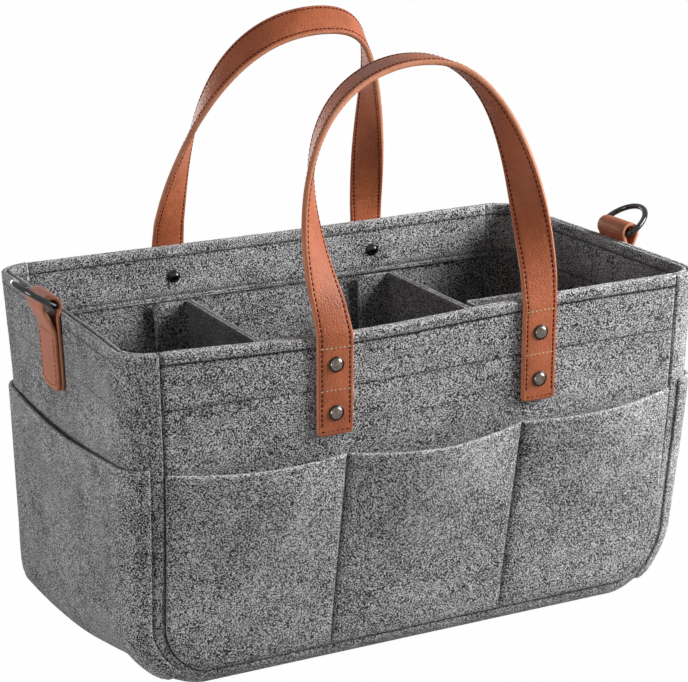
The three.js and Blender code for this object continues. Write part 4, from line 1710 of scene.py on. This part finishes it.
def ringOutline():  # the bar, a tight corner, the bow, and the other corner
    half = ring["inner"] / 2 + ring["wire"]
    tight = ring["corner"]
    corner = half - tight
    turns = spread(0, math.pi / 2, 6)[1:]
    bend = [(tight - tight * math.cos(turn), corner + tight * math.sin(turn)) for turn in turns]
    bow = [(ring["side"] + half * math.sin(turn), half * math.cos(turn)) for turn in spread(0, math.pi, 44)]
    bar = [(0.0, y) for y in spread(-corner, corner, 10)]
    return bar + bend + bow + [(d, -y) for d, y in reversed(bend)]


def makeRing(name, side):
    out, up = math.cos(ring["tilt"]), math.sin(ring["tilt"])
    line = [onEnd(tabMiddle + d * out, y, barHeight + d * up, side) for d, y in ringOutline()]
    upright = onEnd(-up, 0, out, side) - onEnd(0, 0, 0, side)
    points = []
    for k, spot in enumerate(line):
        along = (line[(k + 1) % len(line)] - line[k - 1]).normalized()
        aside = along.cross(upright).normalized()
        for turn in circle(ring["sides"]):
            points.append(spot + (aside * math.cos(turn) + upright * math.sin(turn)) * ring["wire"])
    faces = tubeFaces(len(line), ring["sides"], closed=True)
    body, nodes = name + "_ring", [name + "_d_ring"]
    addPiece(name + "_ring_wire", points, faces, [blackNickel], body, nodes)


for endName, endSide in (("left", -1), ("right", 1)):
    makeTab(endName, endSide)
    makeRing(endName, endSide)
print("rivets, tabs and rings set")


# stitch lines on the felt

stitch = {
    "proud": 0.02,
    "clear": 1.0,  # beside a strap or tab that hides the line
    "sideways": 0.05,  # with less than this the thread faces the front or the back
    "rim": {"pitch": 3.3, "length": 2.9, "thick": 0.46},
    "endRim": {"thick": 0.2},
    "rimInside": {"thick": 0.3},
    "facing": {"length": 2.2, "thick": 0.24},
    "endFacing": {"length": 2.0, "thick": 0.18},
    "facingInside": {"thick": 0.28},
    "pocketSeam": {"pitch": 3.2, "length": 2.4, "thick": 0.26},
    "crossing": {"pitch": 2.4, "length": 2.2, "thick": 0.27},
    "divider": {"pitch": 3.4, "length": 2.4, "thick": 0.26},
}


def endRail(side, z, lift, sign):
    angles = spread(0, math.pi / 2, 10)
    line = [settle(point) for point in gussetRow(endStation(side, z), lift, angles)]
    rail = []
    for k, spot in enumerate(line):
        along = line[min(k + 1, len(line) - 1)] - line[max(k - 1, 0)]
        out = along.cross(Vector((0, 0, 1))).normalized()
        out = out if out.x * side > 0 or abs(out.x) < stitch["sideways"] else -out
        rail.append((spot, out * sign))
    return rail


def rimRails(z, lift):  # front, back, left and right
    sign = 1 if lift > 0 else -1
    wall = [flare(x, -halfDepth - lift, z) for x in spread(-seamHalf, seamHalf, 90)]
    front = [(settle(spot), wallOut("front") * sign) for spot in wall]
    back = [(settle(turnHalf(spot)), wallOut("back") * sign) for spot in wall]
    return [front, back, endRail(-1, z, lift, sign), endRail(1, z, lift, sign)]


def underStrap(spot):
    ends = anchors["front" if spot.y < 0 else "back"].values()
    return any(abs(spot.x - x) < strap["width"] / 2 + stitch["clear"] for x in ends)


def underTab(spot):
    place = tab["places"]["left" if spot.x < 0 else "right"]
    return abs(spot.y - place) < tab["width"] / 2 + stitch["clear"] and abs(spot.x) > halfLength


def hidden(spot):
    return underTab(spot) or (abs(spot.y) > halfDepth and underStrap(spot))


def sewRim():
    inner = -caddy["felt"] - caddy["gap"] - caddy["facing"]
    rim, low = rimRails(rimStitchZ, stitch["proud"]), rimRails(facingStitchZ, stitch["proud"])
    sewPiece("rim_stitch_outside", rim[:2], darkThread, "felt", skip=hidden, **stitch["rim"])
    sewPiece("end_rim_stitch_outside", rim[2:], greyThread, "felt", skip=hidden, **stitch["endRim"])
    sewPiece("rim_stitch_inside", rimRails(rimStitchZ, inner), darkThread, "felt", **stitch["rimInside"])
    sewPiece("facing_stitch_outside", low[:2], darkThread, "felt", skip=hidden, **stitch["facing"])
    sewPiece("end_facing_stitch_outside", low[2:], greyThread, "felt", skip=hidden, **stitch["endFacing"])
    inside = rimRails(insideStitchZ, inner)
    sewPiece("facing_stitch_inside", inside, greyThread, "felt", **stitch["facingInside"])


def sewPocketSeams(sunk=0.3, lowest=3.0, highest=1.0):
    lift = caddy["gap"] + pocket["thick"] * (1 - pocket["press"])
    rails = []
    for x in (-pocket["seamX"], pocket["seamX"]):
        heights = spread(caddy["baseCurl"] + lowest, mouthHeight(x) - highest, 40)
        line = [pocketPoint(x, z, lift - sunk) for z in heights]
        rails.append([(settle(spot), wallOut("front")) for spot in line])
        rails.append([(settle(turnHalf(spot)), wallOut("back")) for spot in line])
    sewPiece("pocket_seam_stitch", rails, darkThread, "felt", **stitch["pocketSeam"])


def sewCrossings(proud=0.2, inset=0.8):
    out = caddy["gap"] + strap["thick"] + proud
    half = strap["width"] / 2 - inset
    rails = []
    for wall in ("front", "back"):
        for x in anchors[wall].values():
            for drop in (caddy["rimStitch"], caddy["facingStitch"]):
                spots = [onWall(x + step, out, -drop, wall) for step in spread(-half, half, 8)]
                rails.append([(spot + ripple(spot) + sagAt(spot), wallOut(wall)) for spot in spots])
    sewPiece("strap_crossing_stitch", rails, creamThread, "leather", **stitch["crossing"])


dividerSewing = {"drop": 4.0, "tipInset": 2.5, "bendClear": 6.0, "proud": 0.05, "crossLow": 46.0}
dividerLine = divider["high"] - dividerSewing["drop"]
dividerFace = divider["ply"] + dividerSewing["proud"]


def sewWallDivider(name, x):
    low, clear = divider["low"] + dividerSewing["drop"], dividerSewing["bendClear"]
    sewn = x - divider["flange"] + dividerSewing["tipInset"]
    rails = []
    for side in (-1, 1):
        face = side * (flangeY - dividerFace)
        out = Vector((0, -side, 0))
        rails.append([(flare(at, face, dividerLine), out) for at in spread(sewn, x - clear, 6)])
        rails.append([(flare(sewn, face, z), out) for z in spread(dividerLine, low, 30)])
    for face, side in ((x - dividerFace, -1), (x + caddy["gap"] + dividerFace, 1)):
        out = Vector((side, 0, 0))
        across = spread(-flangeY + clear, flangeY - clear, 40)
        rails.append([(flare(face, y, dividerLine), out) for y in across])
    body = name + "_divider_body"
    sewPiece(name + "_divider_stitch", rails, greyThread, "divider_felt", body, **stitch["divider"])


def sewCrossDivider():
    sewn = divider["crossY"] - divider["flange"] + dividerSewing["tipInset"]
    end = divider["crossY"] - dividerSewing["bendClear"]
    rails = []
    for face, side in ((crossLeft + dividerFace, 1), (crossRight - dividerFace, -1)):
        out = Vector((side, 0, 0))
        rails.append([(flareLength(face, y, dividerLine), out) for y in spread(sewn, end, 6)])
        heights = spread(dividerLine, dividerSewing["crossLow"], 24)
        rails.append([(flareLength(face, sewn, z), out) for z in heights])
    body = "cross_divider_body"
    sewPiece("cross_divider_stitch", rails, greyThread, "divider_felt", body, **stitch["divider"])


sewRim()
sewPocketSeams()
sewCrossings()
sewWallDivider("left", divider["leftX"])
sewWallDivider("right", divider["rightX"])
sewCrossDivider()
print("stitch lines sewn")


# studio: white floor, even sky, a broad lamp at the right and softer ones at the left and behind

studio = {
    "sky": 0.11,
    "floor": 0.5,
    "floorGlow": 0.99,
    "floorReach": 8.0,
    "floorDrop": 0.0004,
    "aim": (0, 0, 0.12),
}
lamps = {
    "broadKey": {"place": (0.74, -0.4, 0.52), "size": 0.55, "power": 15.3},
    "softFill": {"place": (-1.18, -0.22, 0.14), "size": 0.35, "power": 6.1},
    "rearFill": {"place": (-0.2, 1.25, 0.14), "size": 0.6, "power": 6.0},  # for views from behind
}
white = (1, 1, 1, 1)


def seenDirectly(tree):
    path = put(tree, "ShaderNodeLightPath").outputs
    seen = calc(tree, "MAXIMUM", path["Is Camera Ray"], path["Is Glossy Ray"])
    return calc(tree, "MAXIMUM", seen, path["Is Transmission Ray"])


def mixInto(tree, share, first, second, outKind):
    either = put(tree, "ShaderNodeMixShader")
    for place, value in enumerate((share, first.outputs[0], second.outputs[0])):
        feed(tree, either.inputs[place], value)
    tree.links.new(either.outputs[0], put(tree, outKind).inputs["Surface"])


def makeSky():
    world = bpy.data.worlds.new("paleSky")
    scene.world = world
    world.use_nodes = True
    tree = world.node_tree
    tree.nodes.clear()
    light = put(tree, "ShaderNodeBackground")
    feedAll(tree, light.inputs, {"Color": white, "Strength": studio["sky"]})
    shown = put(tree, "ShaderNodeBackground")
    feedAll(tree, shown.inputs, {"Color": white})
    mixInto(tree, seenDirectly(tree), light, shown, "ShaderNodeOutputWorld")


def makeFloor():
    finish = bpy.data.materials.new("paleFloor")
    finish.use_nodes = True
    tree = finish.node_tree
    tree.nodes.clear()
    matt = put(tree, "ShaderNodeBsdfDiffuse")
    feedAll(tree, matt.inputs, {"Color": (studio["floor"],) * 3 + (1,)})
    glow = put(tree, "ShaderNodeEmission")
    feedAll(tree, glow.inputs, {"Color": white})
    glowing = times(tree, seenDirectly(tree), studio["floorGlow"])
    mixInto(tree, glowing, matt, glow, "ShaderNodeOutputMaterial")
    mesh = bpy.data.meshes.new("floor")
    corners = [(-1, -1), (1, -1), (1, 1), (-1, 1)]
    reach = studio["floorReach"]
    mesh.from_pydata([(x * reach, y * reach, 0) for x, y in corners], [], [(0, 1, 2, 3)])
    mesh.materials.append(finish)
    floor = bpy.data.objects.new("floor", mesh)
    floor.location.z = -studio["floorDrop"]
    scene.collection.objects.link(floor)


def makeLamp(name, place, size, power):
    data = bpy.data.lights.new(name, "AREA")
    data.size = size
    data.energy = power
    lamp = bpy.data.objects.new(name, data)
    lamp.location = place
    aim = Vector(studio["aim"]) - Vector(place)
    lamp.rotation_euler = aim.to_track_quat("-Z", "Y").to_euler()
    scene.collection.objects.link(lamp)


makeSky()
makeFloor()
for lampName, lampLook in lamps.items():
    makeLamp(lampName, **lampLook)
print("studio lit")
